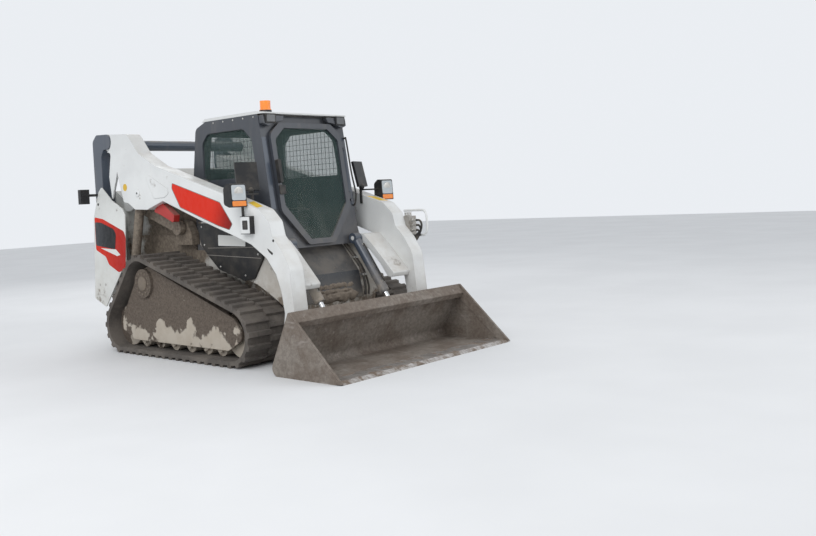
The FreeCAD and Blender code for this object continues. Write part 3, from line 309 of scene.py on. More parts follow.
def plain_plastic(name, color, rough, grain=700.0, dust=0.25):
    """Dusty plastic or rubber with a fine grain."""
    s = Shader(name)
    cloud = s.noise(8.0, 6.0, 0.6)
    film = s.times(s.fade(cloud, 0.4, 0.75, 0.05, 1.0), dust)
    film = s.plus(film, s.fade(s.up, 0.3, 1.0, 0.0, dust), clamp=True)
    shade = s.blend(film, s.mottle(cloud, color, darker(color, 0.8)), DUST)
    relief = s.bump(s.noise(grain, 2.0, shift=1.0), 0.0004, 0.4)
    return s.finish(shade, s.fade(film, 0.0, 0.6, rough, 0.85), relief, Specular_IOR_Level=0.3)


def cloth_material():
    """Dark woven cloth of the seat."""
    s = Shader("seat_cloth")
    weave = s.bands(160.0, "DIAGONAL", 1.0)
    color = s.blend(weave, (0.035, 0.036, 0.04), (0.075, 0.077, 0.082))
    color = s.blend(s.fade(s.noise(7.0, 5.0), 0.45, 0.75, 0.0, 0.3), color, DUST)
    return s.finish(color, 0.92, s.bump(weave, 0.0008, 0.5), Sheen_Weight=0.3)


def clear_plastic(name, color, glow=0.0):
    """Lamp plastic with fine ribs."""
    s = Shader(name)
    shade = s.blend(s.fade(s.noise(12.0, 5.0), 0.4, 0.8, 0.0, 0.25), color, darker(color, 0.6))
    return s.finish(shade, 0.22, s.bump(s.bands(60.0, "Z"), 0.0015, 0.6), Coat_Weight=0.6,
                    Emission_Color=(*color, 1.0), Emission_Strength=glow)


def metal_material(name, color, rough, dirt):
    """Metal under smears of dirt."""
    s = Shader(name)
    film = s.fade(s.noise(16.0, 6.0, 0.65), 0.42, 0.75, 0.0, dirt)
    shade = s.blend(film, color, (0.22, 0.18, 0.14))
    relief = s.bump(s.noise(300.0, 2.0, shift=1.0), 0.0003, 0.3)
    return s.finish(shade, s.fade(film, 0.0, 0.6, rough, 0.8), relief, s.less(1.0, film))


def mud_material():
    """Mud in a thick layer."""
    s = Shader("mud")
    grain = s.noise(45.0, 8.0, 0.7)
    wide = s.noise(7.0, 4.0, 0.6, shift=1.0)
    color = s.mottle(grain, (0.12, 0.094, 0.072), (0.24, 0.20, 0.16))
    color = s.mottle(wide, color, (0.20, 0.165, 0.13), 0.4, 0.65)
    return s.finish(color, 0.93, s.bump(grain, 0.006, 0.8))


def panel_shade_and_scuffs(name, start, end, low, high, along, rough=0.38, shine=0.5):
    """Sheet colour with dust scuffs, which turns from one tone to another along x and z; the turn is
    painted shade.
    """
    s = Shader(name, 0.001)
    run = s.plus(s.times(s.x, along[0]), s.times(s.z, along[1]))
    color = s.mottle(run, start, end, low, high)
    scuff = s.noise(26.0, 5.0, 0.65, s.scaled((1.0, 1.0, 0.4)))
    color = s.blend(s.fade(scuff, 0.62, 0.74, 0.0, 0.3), color, DUST)
    return s.finish(color, s.fade(scuff, 0.4, 0.7, rough, 0.7), s.bump(scuff, 0.0004, 0.3),
                    Specular_IOR_Level=shine)


MATERIALS = {
    "arm_white": dusty("arm_white", (0.80, 0.81, 0.80), rough=0.33, dust=0.30, dust_low=0.25,
                       dust_high=1.25, mud=0.5, mud_high=0.7, coat=0.2, speckle=0.15, edge=0.010),
    "cream": dusty("cream", (0.76, 0.77, 0.74), rough=0.36, dust=0.30, dust_low=0.3, dust_high=1.2,
                   mud=0.35, mud_high=0.8, coat=0.15, speckle=0.2, belly=1.0),
    "dusty_cream": dusty("dusty_cream", (0.75, 0.74, 0.70), rough=0.42, dust=0.6, dust_low=0.4,
                         dust_high=1.3, mud=0.5, mud_high=1.1, speckle=0.35, belly=1.0),
    "dark_hood": dusty("dark_hood", (0.66, 0.67, 0.66), rough=0.45, dust=0.35, dust_low=0.8,
                       dust_high=1.7, speckle=0.3, belly=0.9),
    "engine_grey": dusty("engine_grey", (0.05, 0.05, 0.05), rough=0.6, dust=0.6, dust_low=0.3,
                         dust_high=1.2),
    "black_cover": plain_plastic("black_cover", (0.018, 0.019, 0.021), rough=0.42, dust=0.12),
    "cab_black": dusty("cab_black", (0.050, 0.056, 0.068), rough=0.36, dust=0.15, dust_low=0.85,
                       dust_high=1.4, coat=0.2, speckle=0.25),
    "window_glass": glass_material(),
    "seat_cloth": cloth_material(),
    "grey_plastic": plain_plastic("grey_plastic", (0.06, 0.06, 0.065), rough=0.6),
    "track_rubber": rubber_material(),
    "track_frame": caked_material("track_frame", under=(0.50, 0.45, 0.38), share=0.47),
    "amber": clear_plastic("amber", (0.95, 0.26, 0.02), glow=0.15),
    "blue_grey": dusty("blue_grey", (0.062, 0.078, 0.105), rough=0.32, dust=0.95, dust_low=0.40,
                       dust_high=0.80, coat=0.3, speckle=0.2, belly=0.75),
    "dirty_steel": metal_material("dirty_steel", (0.42, 0.40, 0.37), rough=0.45, dirt=0.8),
    "safety_red": dusty("safety_red", (0.50, 0.018, 0.014), rough=0.4, dust=0.2, dust_low=0.6,
                        dust_high=1.5),
    "rod_chrome": metal_material("rod_chrome", (0.78, 0.79, 0.80), rough=0.12, dirt=0.25),
    "bucket_steel": bucket_material(),
    "worn_steel": worn_material(),
}

# Paints of the pieces that are built below. Each panel paint turns darker from its first tone to its second
# along x or z: painted shade.
RED = panel_shade_and_scuffs("panel_red", (0.70, 0.028, 0.010), (0.22, 0.008, 0.006), low=-0.34, high=0.02,
             along=(1.0, -0.4), rough=0.4, shine=0.2)
RED_REAR = panel_shade_and_scuffs("panel_red_rear", (0.66, 0.028, 0.010), (0.42, 0.014, 0.008), low=-1.7, high=-1.1,
                  along=(1.0, 0.0), rough=0.4, shine=0.2)
GREY = panel_shade_and_scuffs("panel_grey", (0.055, 0.058, 0.064), (0.016, 0.017, 0.019), low=-1.7, high=-1.4,
              along=(1.0, 0.0), rough=0.4, shine=0.25)
WHITE = panel_shade_and_scuffs("panel_white", (0.80, 0.80, 0.78), (0.70, 0.70, 0.67), low=0.6, high=1.2, along=(0.0, 1.0))
YELLOW = panel_shade_and_scuffs("panel_yellow", (0.78, 0.52, 0.05), (0.70, 0.44, 0.04), low=1.2, high=1.6, along=(0.0, 1.0))
LINE = panel_shade_and_scuffs("panel_line", (0.30, 0.28, 0.25), (0.22, 0.20, 0.18), low=0.6, high=1.2, along=(0.0, 1.0),
              rough=0.6)
# This black paints real black parts and also the painted shade in holes, the lamp recess and behind the
# tailgate's slots.
BLACK = plain_plastic("black_trim_and_shade", (0.02, 0.021, 0.023), rough=0.45, dust=0.18)
HOSE = plain_plastic("hose_rubber", (0.018, 0.018, 0.019), rough=0.6, grain=300.0, dust=0.3)
ZINC = metal_material("zinc", (0.62, 0.61, 0.58), rough=0.34, dirt=0.45)
CLEAR = clear_plastic("lamp_clear", (0.46, 0.50, 0.52), glow=0.03)
SMOKED = clear_plastic("lamp_smoked", (0.10, 0.105, 0.11))
ORANGE = clear_plastic("lamp_orange", (0.90, 0.25, 0.02), glow=0.05)
REAR_RED = clear_plastic("lamp_red", (0.60, 0.02, 0.015), glow=0.05)
MUD_PAINT = mud_material()
ARM_PAINT = MATERIALS["arm_white"]

for entry in frame["record"]["subparts"]:
    mesh = NODES[entry["node"]].data
    mesh.materials.clear()
    mesh.materials.append(MATERIALS[entry["material_slot"]])
NODES["cab_roof"].data.materials[0] = dusty(
    "roof_paint", (0.72, 0.73, 0.72), rough=0.4, dust=0.2, dust_low=1.0, dust_high=1.6, speckle=0.3)
NODES["front_panel"].data.materials[0] = dusty(
    "scuffed_panel", (0.028, 0.031, 0.036), rough=0.38, dust=0.3, dust_low=0.44, dust_high=0.68, mud=0.6,
    mud_high=0.62, speckle=0.9)


# Lines and outlines

def curve(points, steps=6):
    """A smooth line through the points."""
    points = [Vector(p) for p in points]
    ends = [points[0] * 2 - points[1]] + points + [points[-1] * 2 - points[-2]]
    line = []
    for before, a, b, after in zip(ends, ends[1:], ends[2:], ends[3:]):
        for k in range(steps):
            t = k / steps
            line.append(0.5 * ((2 * a) + (b - before) * t + (2 * before - 5 * a + 4 * b - after) * t ** 2
                               + (3 * a - before - 3 * b + after) * t ** 3))
    return line + [points[-1]]


def rounded(points, radius, steps=4):
    """An outline with its corners rounded."""
    out = []
    for i, point in enumerate(points):
        here = Vector(point)
        back = Vector(points[i - 1]) - here
        ahead = Vector(points[(i + 1) % len(points)]) - here
        reach = min(radius, back.length * 0.45, ahead.length * 0.45)
        start = here + back.normalized() * reach
        end = here + ahead.normalized() * reach
        for k in range(steps + 1):
            t = k / steps
            out.append(tuple((1 - t) ** 2 * start + 2 * t * (1 - t) * here + t * t * end))
    return out


def box_outline(a, b, c, d, radius=0.0):
    """The outline of a rectangle from (a, b) to (c, d)."""
    corners = [(a, b), (c, b), (c, d), (a, d)]
    return rounded(corners, radius) if radius else corners


def disc(radius, height=FILM):
    """The profile of a plain disc, for a lathe."""
    return [(radius, 0.0), (radius, height)]


def turns(count):
    """Angles all the way round."""
    return [2 * math.pi * k / count for k in range(count)]


# Each of these gives the place of a point on a face, from two coordinates and a depth that runs outwards.

def side(y):
    """A face of the right-hand side, y metres out; points are x, z."""
    return lambda a, b, depth: Vector((a, -y - depth, b))


def facing_front(x, z=0.0, lean=0.0):
    """A face at x that looks forwards and leans back above height z; points are y, z."""
    return lambda a, b, depth: Vector((x - lean * (b - z) + depth, a, b))


def facing_rear(x):
    """A face at x that looks backwards; points are y, z."""
    return lambda a, b, depth: Vector((x - depth, a, b))


CAB_FRONT = facing_front(0.662, 0.905, 0.1405)


# Pieces that the solids leave out

def skin(build, rings):
    """Skins a row of rings with the same number of points and closes its ends."""
    rows = [[build.verts.new(p) for p in ring] for ring in rings]
    count = len(rows[0])
    for lower, upper in zip(rows, rows[1:]):
        for i in range(count):
            j = (i + 1) % count
            build.faces.new((lower[i], lower[j], upper[j], upper[i]))
    build.faces.new(list(reversed(rows[0])))
    build.faces.new(rows[-1])


def link(name, data):
    made = bpy.data.objects.new(name, data)
    bpy.context.scene.collection.objects.link(made)
    return made


def to_object(build, name):
    """Turns mesh under construction into an object."""
    bmesh.ops.recalc_face_normals(build, faces=build.faces[:])
    mesh = bpy.data.meshes.new(name)
    build.to_mesh(mesh)
    build.free()
    return link(name, mesh)


def settle(thing):
    """Applies the modifiers of an object to its mesh."""
    bpy.context.view_layer.update()
    seen = thing.evaluated_get(bpy.context.evaluated_depsgraph_get())
    mesh = bpy.data.meshes.new_from_object(seen)
    thing.modifiers.clear()
    thing.data = mesh


def coat(thing, paint, sharp=True):
    """Gives an object one paint and smooth shading."""
    thing.data.materials.clear()
    thing.data.materials.append(paint)
    thing.data.shade_smooth()
    if sharp:
        thing.data.set_sharp_from_angle(angle=SHARP)


class Piece:
    """Mesh built in code, which rides on a body. Its material slot is not used. With both, what is built on
    one side is copied to the other."""

    def __init__(self, name, paint, slot, body="root", both=True):
        self.name, self.paint, self.slot, self.body, self.both = name, paint, slot, body, both
        self.build = bmesh.new()

    def skin(self, rings):
        skin(self.build, rings)
        return self

    def plate(self, outline, where, depth, low=0.0):
        """A plate on a face, from depth low to depth."""
        return self.skin([[where(a, b, d) for a, b in outline] for d in (low, depth)])

    def lathe(self, profile, centre, axis, steps=24):
        """Profile is (radius, distance along the axis)."""
        axis = Vector(axis).normalized()
        across = axis.orthogonal().normalized()
        other = axis.cross(across)
        return self.skin([[Vector(centre) + axis * along
                           + (across * math.cos(t) + other * math.sin(t)) * radius
                           for t in turns(steps)] for radius, along in profile])

    def tube(self, path, radius, steps=10):
        path = [Vector(p) for p in path]
        across = (path[1] - path[0]).orthogonal().normalized()
        rings = []
        for i, point in enumerate(path):
            ahead = (path[min(i + 1, len(path) - 1)] - path[max(i - 1, 0)]).normalized()
            across = (across - ahead * across.dot(ahead)).normalized()
            other = ahead.cross(across)
            rings.append([point + (across * math.cos(t) + other * math.sin(t)) * radius
                          for t in turns(steps)])
        return self.skin(rings)

    def bolt(self, centre, axis, size, height):
        """A hexagon head on a washer."""
        washer = height * 0.3
        self.lathe(disc(size * 1.35, washer), centre, axis, 16)
        return self.lathe([(size, washer), (size, height * 0.85), (size * 0.85, height)], centre, axis, 6)

    def done(self, bevel=0.0):
        if self.both:
            every = self.build.verts[:] + self.build.edges[:] + self.build.faces[:]
            for item in bmesh.ops.duplicate(self.build, geom=every)["geom"]:
                if isinstance(item, bmesh.types.BMVert):
                    item.co.y = -item.co.y
        piece = to_object(self.build, self.name)
        coat(piece, self.paint)
        if bevel:
            rim = piece.modifiers.new("edges", "BEVEL")
            rim.width = bevel
            rim.segments = 2
            rim.limit_method = "ANGLE"
        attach(piece, self.body)
        return piece


def screws(name, face, size, height, places, body="root"):
    """Screws at x, z places on a face of the right-hand side."""
    made = Piece(name, ZINC, "dirty_steel", body)
    for x, z in places:
        made.bolt((x, -face, z), RIGHT, size, height)
    made.done()


def panels():
    """Plain colour shapes, plates and screws on the arms, the uprights' covers and the side covers."""
    arm = side(ARM_FACE)
    Piece("arm_panel_edge", LINE, "safety_red", "lift_arm").plate(
        rounded([(-0.362, 1.522), (0.317, 1.330), (0.472, 1.145), (0.428, 1.095), (0.277, 1.131),
                 (-0.258, 1.301), (-0.372, 1.472)], 0.014), arm, 0.0010).done()
    Piece("arm_panel", RED, "safety_red", "lift_arm").plate(
        rounded([(-0.356, 1.516), (0.313, 1.325), (0.464, 1.145), (0.424, 1.101), (0.279, 1.137),
                 (-0.252, 1.307), (-0.365, 1.474)], 0.012), arm, 0.0016).done()
    Piece("arm_plate", ARM_PAINT, "arm_white", "lift_arm").plate(
        rounded([(-0.77, 1.591), (-0.727, 1.612), (-0.434, 1.478), (-0.419, 1.433), (-0.481, 1.398),
                 (-0.654, 1.393), (-0.678, 1.428)], 0.02), arm, 0.004).done(0.0015)
    Piece("arm_marker", YELLOW, "arm_white", "lift_arm").lathe(
        disc(0.034), (-1.132, -ARM_FACE, 1.516), RIGHT, 32).done()

    boss_middle = (-0.924, -ARM_FACE, 1.453)
    # The black films in the slot, the hole and the middle of the boss paint the shade inside them; the last
    # one is a thin black line.
    slots = Piece("arm_hole_shade", BLACK, "cab_black", "lift_arm")
    slots.plate(rounded([(0.896, 0.948), (0.912, 0.92), (0.957, 0.89), (0.967, 0.908)], 0.012), arm, FILM)
    slots.lathe(disc(0.011), (0.976, -ARM_FACE, 1.005), RIGHT, 20)
    slots.lathe(disc(0.010, 0.0075), boss_middle, RIGHT, 20)
    slots.plate([(-1.256, 1.664), (-1.35, 1.37), (-1.345, 1.37), (-1.251, 1.664)], arm, 0.0008)
    slots.done()
    Piece("arm_boss", ARM_PAINT, "arm_white", "lift_arm").lathe(
        [(0.036, 0.0), (0.036, 0.004), (0.030, 0.007)], boss_middle, RIGHT, 32).done()
    screws("arm_screws", ARM_FACE, 0.007, 0.005,
           ((-0.883, 1.436), (-0.886, 1.406), (-0.62, 1.508)), "lift_arm")

    def arm_top(a, b, depth):
        """The sloping top of the arm; points are x, y."""
        return Vector((a, b, 1.404 - 0.3167 * (a - 0.35) + depth))

    Piece("arm_patch", YELLOW, "arm_white", "lift_arm").plate(
        [(0.64, -0.742), (0.775, -0.768), (0.75, -0.684), (0.606, -0.66)], arm_top, FILM).done()

    cover = side(COVER_FACE)
    Piece("upright_red", RED_REAR, "safety_red").plate(
        rounded([(-1.682, 1.25), (-1.53, 1.229), (-1.166, 1.107), (-1.135, 1.042), (-1.169, 0.754),
                 (-1.288, 0.718), (-1.461, 0.79), (-1.51, 0.865), (-1.683, 0.93)], 0.02),
        cover, 0.0010).done()
    Piece("upright_grey", GREY, "cab_black").plate(
        rounded([(-1.677, 1.202), (-1.561, 1.195), (-1.341, 1.13), (-1.304, 1.081), (-1.33, 0.936),
                 (-1.678, 0.974)], 0.02), cover, 0.0016).done()
    Piece("upright_white", WHITE, "arm_white").plate(
        [(-1.595, 0.948), (-1.32, 0.936), (-1.244, 0.884), (-1.304, 0.873)], cover, 0.0016).done()
    screws("upright_screws", COVER_FACE, 0.009, 0.006,
           ((-1.266, 1.31), (-1.645, 0.592), (-1.543, 0.595), (-1.62, 1.42), (-1.24, 0.66)))
    # A black disc paints the shade inside the cover's hole.
    Piece("upright_hole_shade", BLACK, "cab_black").lathe(
        disc(0.014), (-1.599, -COVER_FACE, 1.372), RIGHT, 24).done()

    low = side(SIDE_FACE)
    Piece("side_plate", WHITE, "cream").plate(
        rounded([(0.01, 1.048), (0.387, 1.032), (0.38, 0.947), (0.006, 0.953)], 0.01),
        low, 0.003).done(0.001)
    lines = Piece("side_lines", LINE, "cream")
    for outline in ([(-0.147, 0.930), (0.5, 0.938), (0.5, 0.943), (-0.147, 0.935)],
                    [(-0.179, 0.870), (0.575, 0.846), (0.575, 0.851), (-0.179, 0.875)]):
        lines.plate(outline, low, FILM)
    lines.done()
    screws("side_screws", SIDE_FACE, 0.007, 0.004,
           ((-0.23, 1.12), (-0.20, 0.96), (0.50, 1.10), (0.54, 0.88), (0.02, 0.77), (0.36, 0.70)))


def cab_trim():
    """The cab's latch, pillar strips and bar, window mesh, lever boots, roof lamps and screws."""
    Piece("pillar_strip", MATERIALS["blue_grey"], "blue_grey").plate(
        box_outline(-0.483, 1.25, -0.432, 1.86, 0.008), CAB_FRONT, 0.0015).done()
    Piece("door_latch", BLACK, "cab_black", "door", both=False).plate(
        box_outline(-0.402, 1.37, -0.335, 1.45, 0.01), CAB_FRONT, 0.048, 0.034).done(0.002)
    screws("cab_screws", CAB_FACE, 0.006, 0.004,
           [(x, 2.033) for x in (-0.12, 0.02, 0.16, 0.30, 0.44)] + [(-0.43, z) for z in (1.0, 1.12, 1.24)])

    # Upright wires end under the roof's slope, level ones at the leaning front pillar.
    pitch, wire = 0.05, 0.003
    bottom, roof, slope_from = 1.52, 1.955, 0.3
    mesh = Piece("window_mesh", BLACK, "cab_black")
    for k in range(16):
        x = -0.30 + pitch * k
        top = roof if x < slope_from else roof - (x - slope_from) * 0.7
        mesh.plate(box_outline(x, bottom, x + wire, top), side(0.452), wire)
    for k in range(9):
        z = 1.54 + pitch * k
        ahead = 0.46 - max(0.0, z - 1.53) * 0.14
        mesh.plate(box_outline(-0.32, z, ahead, z + wire), side(0.449), wire)
    mesh.done()

    lever_x, lever_y = 0.02, -0.365
    boots = Piece("lever_boots", BLACK, "cab_black")
    boots.lathe([(0.046, 0.0), (0.046, 0.008), (0.036, 0.016), (0.041, 0.024), (0.030, 0.032),
                 (0.034, 0.040), (0.023, 0.050), (0.0175, 0.062)], (lever_x, lever_y, 1.218), UP)
    boots.lathe([(0.0175, 0.0), (0.024, 0.02), (0.026, 0.06), (0.022, 0.09), (0.017, 0.10)],
                (lever_x, lever_y, 1.285), UP)
    boots.done()
    Piece("roof_pods", MATERIALS["cab_black"], "black_cover").plate(
        rounded([(-0.484, 2.044), (-0.245, 2.044), (-0.262, 1.995), (-0.318, 1.991), (-0.424, 1.948),
                 (-0.484, 1.972)], 0.012), CAB_FRONT, 0.052, 0.002).done(0.004)
    bar = [(0.50, 1.862), (0.545, 1.858), (0.562, 1.84), (0.609, 1.547), (0.652, 1.363), (0.645, 1.28),
           (0.627, 1.249), (0.60, 1.243)]
    Piece("pillar_bar", BLACK, "cab_black", both=False).tube(
        curve([(x, 0.476, z) for x, z in bar]), 0.008).done()
    Piece("roof_lenses", SMOKED, "amber").plate(
        box_outline(-0.450, 1.985, -0.360, 2.045, 0.012), facing_front(0.572), 0.003).done(0.001)
    Piece("beacon_foot", BLACK, "cab_black", both=False).lathe(
        [(0.0535, 0.0), (0.0535, 0.018), (0.050, 0.024)], (0.400, -0.316, 2.0815), UP, 32).done()


def lamps():
    """Glasses and brackets of the arm lamps, glasses of the rear lamps, mirror faces and their joints."""
    face = facing_front(0.685, 1.28, 0.0526)
    Piece("lamp_glass", CLEAR, "amber", "lift_arm").plate(
        box_outline(-0.936, 1.336, -0.800, 1.458, 0.016), face, 0.004).done(0.001)
    Piece("lamp_signal", ORANGE, "amber", "lift_arm").plate(
        box_outline(-0.936, 1.288, -0.800, 1.330, 0.010), face, 0.004).done(0.001)
    Piece("lamp_reflector", ZINC, "dirty_steel", "lift_arm").lathe(
        [(0.046, 0.0), (0.046, 0.002), (0.040, 0.0035)], (0.680, -0.868, 1.397), (1, 0, -0.05), 32).done()
    bracket_plate = 0.003
    Piece("lamp_bracket_plate", ARM_PAINT, "arm_white", "lift_arm").plate(
        box_outline(0.634, 1.066, 0.752, 1.201, 0.008), side(BRACKET_FACE), bracket_plate).done(0.001)
    # A black film paints the shade in the bracket's recess.
    Piece("lamp_recess_shade", BLACK, "cab_black", "lift_arm").plate(
        box_outline(0.662, 1.098, 0.728, 1.172, 0.008), side(BRACKET_FACE + bracket_plate), FILM).done()

    rear = facing_rear(-1.650)
    Piece("rear_glass", REAR_RED, "amber").plate(
        box_outline(-0.974, 1.452, -0.896, 1.512, 0.008), rear, 0.003).done()
    Piece("rear_signal", ORANGE, "amber").plate(
        box_outline(-0.974, 1.388, -0.896, 1.446, 0.008), rear, 0.003).done()

    turn = (Matrix.Translation((0.553, -0.668, 1.412)) @ Matrix.Rotation(math.radians(-20), 4, "Z")
            @ Matrix.Rotation(math.radians(-12), 4, "Y"))
    glass = facing_rear(-0.012)
    Piece("mirror_glass", MATERIALS["rod_chrome"], "rod_chrome", "lift_arm").plate(
        box_outline(-0.084, 0.012, 0.084, 0.228, 0.02), lambda a, b, d: turn @ glass(a, b, d),
        0.0015).done()
    Piece("mirror_joint", BLACK, "cab_black", "lift_arm").lathe(
        [(0.010, -0.026), (0.020, -0.020), (0.026, -0.008), (0.026, 0.008), (0.020, 0.020), (0.010, 0.026)],
        (0.560, -0.650, 1.412), UP).done()


def hydraulics():
    """Pipes of the tilt cylinders, hoses on the nose, and the left arm's couplings with their guard."""
    base = Vector((0.710, -0.385, 0.950))
    along = Vector((0.5725, 0, -0.8199))
    out = Vector((0.8199, 0, 0.5725))
    ports_at = (0.10, 0.495)
    pipe = [(0.10, 0.040), (0.10, 0.050), (0.125, 0.056), (0.30, 0.056), (0.47, 0.056), (0.495, 0.050),
            (0.495, 0.040)]
    Piece("tilt_pipes", HOSE, "grey_plastic", "tilt_barrel").tube(
        curve([base + along * a + out * b for a, b in pipe]), 0.0065).done()
    ports = Piece("tilt_ports", ZINC, "dirty_steel", "tilt_barrel")
    for a in ports_at:
        ports.lathe([(0.013, 0.036), (0.013, 0.046), (0.010, 0.050)], base + along * a, out, 6)
    ports.done()

    hoses = Piece("nose_hoses", HOSE, "grey_plastic", both=False)
    hoses.tube(curve([(0.575, 0.345, 0.925), (0.625, 0.345, 0.885), (0.73, 0.348, 0.765),
                      (0.805, 0.350, 0.66), (0.842, 0.345, 0.54), (0.850, 0.335, 0.45)]), 0.011)
    hoses.tube(curve([(0.575, 0.372, 0.925), (0.63, 0.374, 0.875), (0.735, 0.378, 0.755),
                      (0.80, 0.388, 0.65), (0.838, 0.392, 0.53), (0.846, 0.380, 0.45)]), 0.009)
    hoses.done()
    clamps = Piece("hose_clamps", ZINC, "dirty_steel", both=False)
    for x, z in ((0.70, 0.772), (0.80, 0.62)):
        clamps.plate(box_outline(x, z, x + 0.034, z + 0.018, 0.004),
                     lambda a, b, d: Vector((a, 0.332 + d, b)), 0.056)
    clamps.done(0.002)

    loops = Piece("coupler_hoses", HOSE, "grey_plastic", "lift_arm", both=False)
    for k, z in enumerate(COUPLER_HEIGHTS):
        low = 0.875 + 0.022 * k
        loops.tube(curve([(1.05, 0.832, z), (1.075 + 0.01 * k, 0.833, z - 0.004),
                          (1.092 + 0.012 * k, 0.832, z - 0.04), (1.085 + 0.010 * k, 0.828, low + 0.07),
                          (1.055, 0.818, low + 0.025), (1.015, 0.798, low),
                          (0.99, 0.780, low - 0.004)]), 0.0095)
    loops.done()
    guard = Piece("coupler_guard", ARM_PAINT, "arm_white", "lift_arm", both=False)
    bend = [(0.881, 0.941), (1.09, 0.941), (1.132, 0.957), (1.149, 1.0), (1.149, 1.11), (1.132, 1.153),
            (1.09, 1.169), (0.881, 1.169)]
    guard.tube(curve([(x, 0.869, z) for x, z in bend]), 0.0108, 14)
    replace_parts(guard.done(), "guard_loop")
    fittings = Piece("couplings", ZINC, "dirty_steel", "lift_arm", both=False)
    for x in (0.925, 0.955, 0.985):
        fittings.lathe([(0.011, 0.0), (0.011, 0.012), (0.0085, 0.014), (0.0085, 0.022), (0.0105, 0.024),
                        (0.0105, 0.034)], (x, 0.835, 1.1195), UP, 16)
    for z in COUPLER_HEIGHTS:
        fittings.lathe([(0.016, 0.0), (0.016, 0.010), (0.012, 0.012), (0.012, 0.030), (0.014, 0.032),
                        (0.014, 0.045)], (1.0098, 0.832, z), (1, 0, 0), 16)
    fittings.done()


def heap(piece, start, end, wide, high, rough, seed):
    """A lumpy ridge of mud between two points. Seed shifts the pattern of its lumps."""
    start, end = Vector(start), Vector(end)
    steps, taper = 40, 6
    coarse, fine = 22, 60
    rings = []
    for i in range(steps + 1):
        t = i / steps
        swell = min(1.0, taper * t + 0.08, taper * (1 - t) + 0.08)
        ring = []
        for turn in turns(12):
            spot = start.lerp(end, t) + Vector((math.cos(turn) * wide, 0, math.sin(turn) * high)) * swell
            lump = noise.noise(spot * coarse + Vector((seed, 0, 0))) + 0.5 * noise.noise(spot * fine)
            ring.append(spot + Vector((math.cos(turn), 0, math.sin(turn))) * lump * rough * swell)
        rings.append(ring)
    return piece.skin(rings)


def dirt_and_wheels():
    """Mud that lies on ledges, and the bolts and caps of the final drives."""
    mud = Piece("front_mud", MUD_PAINT, "track_frame", both=False)
    heap(mud, (0.815, -0.30, 0.465), (0.815, 0.30, 0.465), 0.035, 0.045, 0.016, 3.0)
    heap(mud, (0.792, -0.29, 0.555), (0.792, 0.29, 0.555), 0.026, 0.026, 0.014, 9.0)
    heap(mud, (0.812, -0.27, 0.515), (0.812, 0.22, 0.515), 0.022, 0.020, 0.014, 14.0)
    mud.done()
    ring = 0.095
    hub = Piece("hub_bolts", MUD_PAINT, "track_frame")
    for turn in turns(12):
        hub.bolt((HUB_X + ring * math.cos(turn), -HUB_FACE, HUB_Z + ring * math.sin(turn)), RIGHT,
                 0.009, 0.008)
    hub.done()
    Piece("hub_caps", MUD_PAINT, "track_frame").lathe(
        [(0.066, 0.0), (0.066, 0.006), (0.060, 0.012), (0.030, 0.016), (0.012, 0.017)],
        (HUB_X, -HUB_FACE, HUB_Z), RIGHT, 32).done()


def grille():
    """The tailgate's sheet with a row of slots cut through it, and a black sheet behind them that paints
    the shade inside the tailgate.
    """
    lowest, pitch, tall, half = 0.752, 0.045, 0.024, 0.35
    outside, inside = -1.93, -1.878
    slots = bmesh.new()
    for k in range(13):
        z = lowest + pitch * k
        corners = box_outline(-half, z, half, z + tall, 0.010)
        skin(slots, [[(x, y, up) for y, up in corners] for x in (outside, inside)])
    cutter = to_object(slots, "slots")
    sheet = link("tailgate_sheet", NODES["tailgate"].data.copy())
    sheet.modifiers.new("weld", "WELD").merge_threshold = 0.00005
    holes = sheet.modifiers.new("holes", "BOOLEAN")
    holes.operation = "DIFFERENCE"
    holes.solver = "EXACT"
    holes.object = cutter
    settle(sheet)
    bpy.data.objects.remove(cutter)
    coat(sheet, MATERIALS["cream"])
    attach(sheet, "tailgate")
    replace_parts(sheet, "tailgate")
    # Painted shade: a black sheet where the inside of the tailgate lies in shade.
    Piece("tailgate_inner_shade", BLACK, "black_cover", "tailgate", both=False).plate(
        box_outline(-0.37, 0.735, 0.37, 1.335, 0.01), facing_front(-1.884), 0.003).done()


def cushion(name, outline, half, reach):
    """A stuffed cushion: a closed form, remeshed and blown up as cloth, with no point moved further than
    reach, then drawn in along two seams."""
    facing = 0.6                            # a normal's least share, up or forwards, where seams show
    form = bmesh.new()
    corners = rounded(outline, 0.03)
    skin(form, [[(x, y, z) for x, z in corners] for y in (-half, half)])
    pad = to_object(form, name)
    grid = pad.modifiers.new("grid", "REMESH")
    grid.mode = "VOXEL"
    grid.voxel_size = VOXEL
    settle(pad)
    rest = [vertex.co.copy() for vertex in pad.data.vertices]
    cloth = pad.modifiers.new("cloth", "CLOTH")
    cloth.settings.use_pressure = True
    cloth.settings.uniform_pressure_force = PRESSURE
    cloth.settings.effector_weights.gravity = 0.0
    for step in range(1, CLOTH_STEPS + 1):
        bpy.context.scene.frame_set(step)
    settle(pad)
    bpy.context.scene.frame_set(1)
    for vertex, start in zip(pad.data.vertices, rest):
        move = vertex.co - start
        if move.length > reach:
            vertex.co = start + move * (reach / move.length)
    for vertex in pad.data.vertices:
        seam = abs(abs(vertex.co.y) - half * SEAM_AT)
        if seam < SEAM_WIDTH:
            on_top = vertex.normal.z > facing
            if on_top or vertex.normal.x > facing:
                inward = Vector((-0.2, 0, -1.0)) if on_top else Vector((-1.0, 0, -0.1))
                vertex.co += inward.normalized() * SEAM_DEPTH * (1 - seam / SEAM_WIDTH) ** 0.5
    coat(pad, MATERIALS["seat_cloth"], sharp=False)
    finer = pad.modifiers.new("finer", "SUBSURF")
    finer.levels = finer.render_levels = 1
    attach(pad, "root")
    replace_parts(pad, "seat")


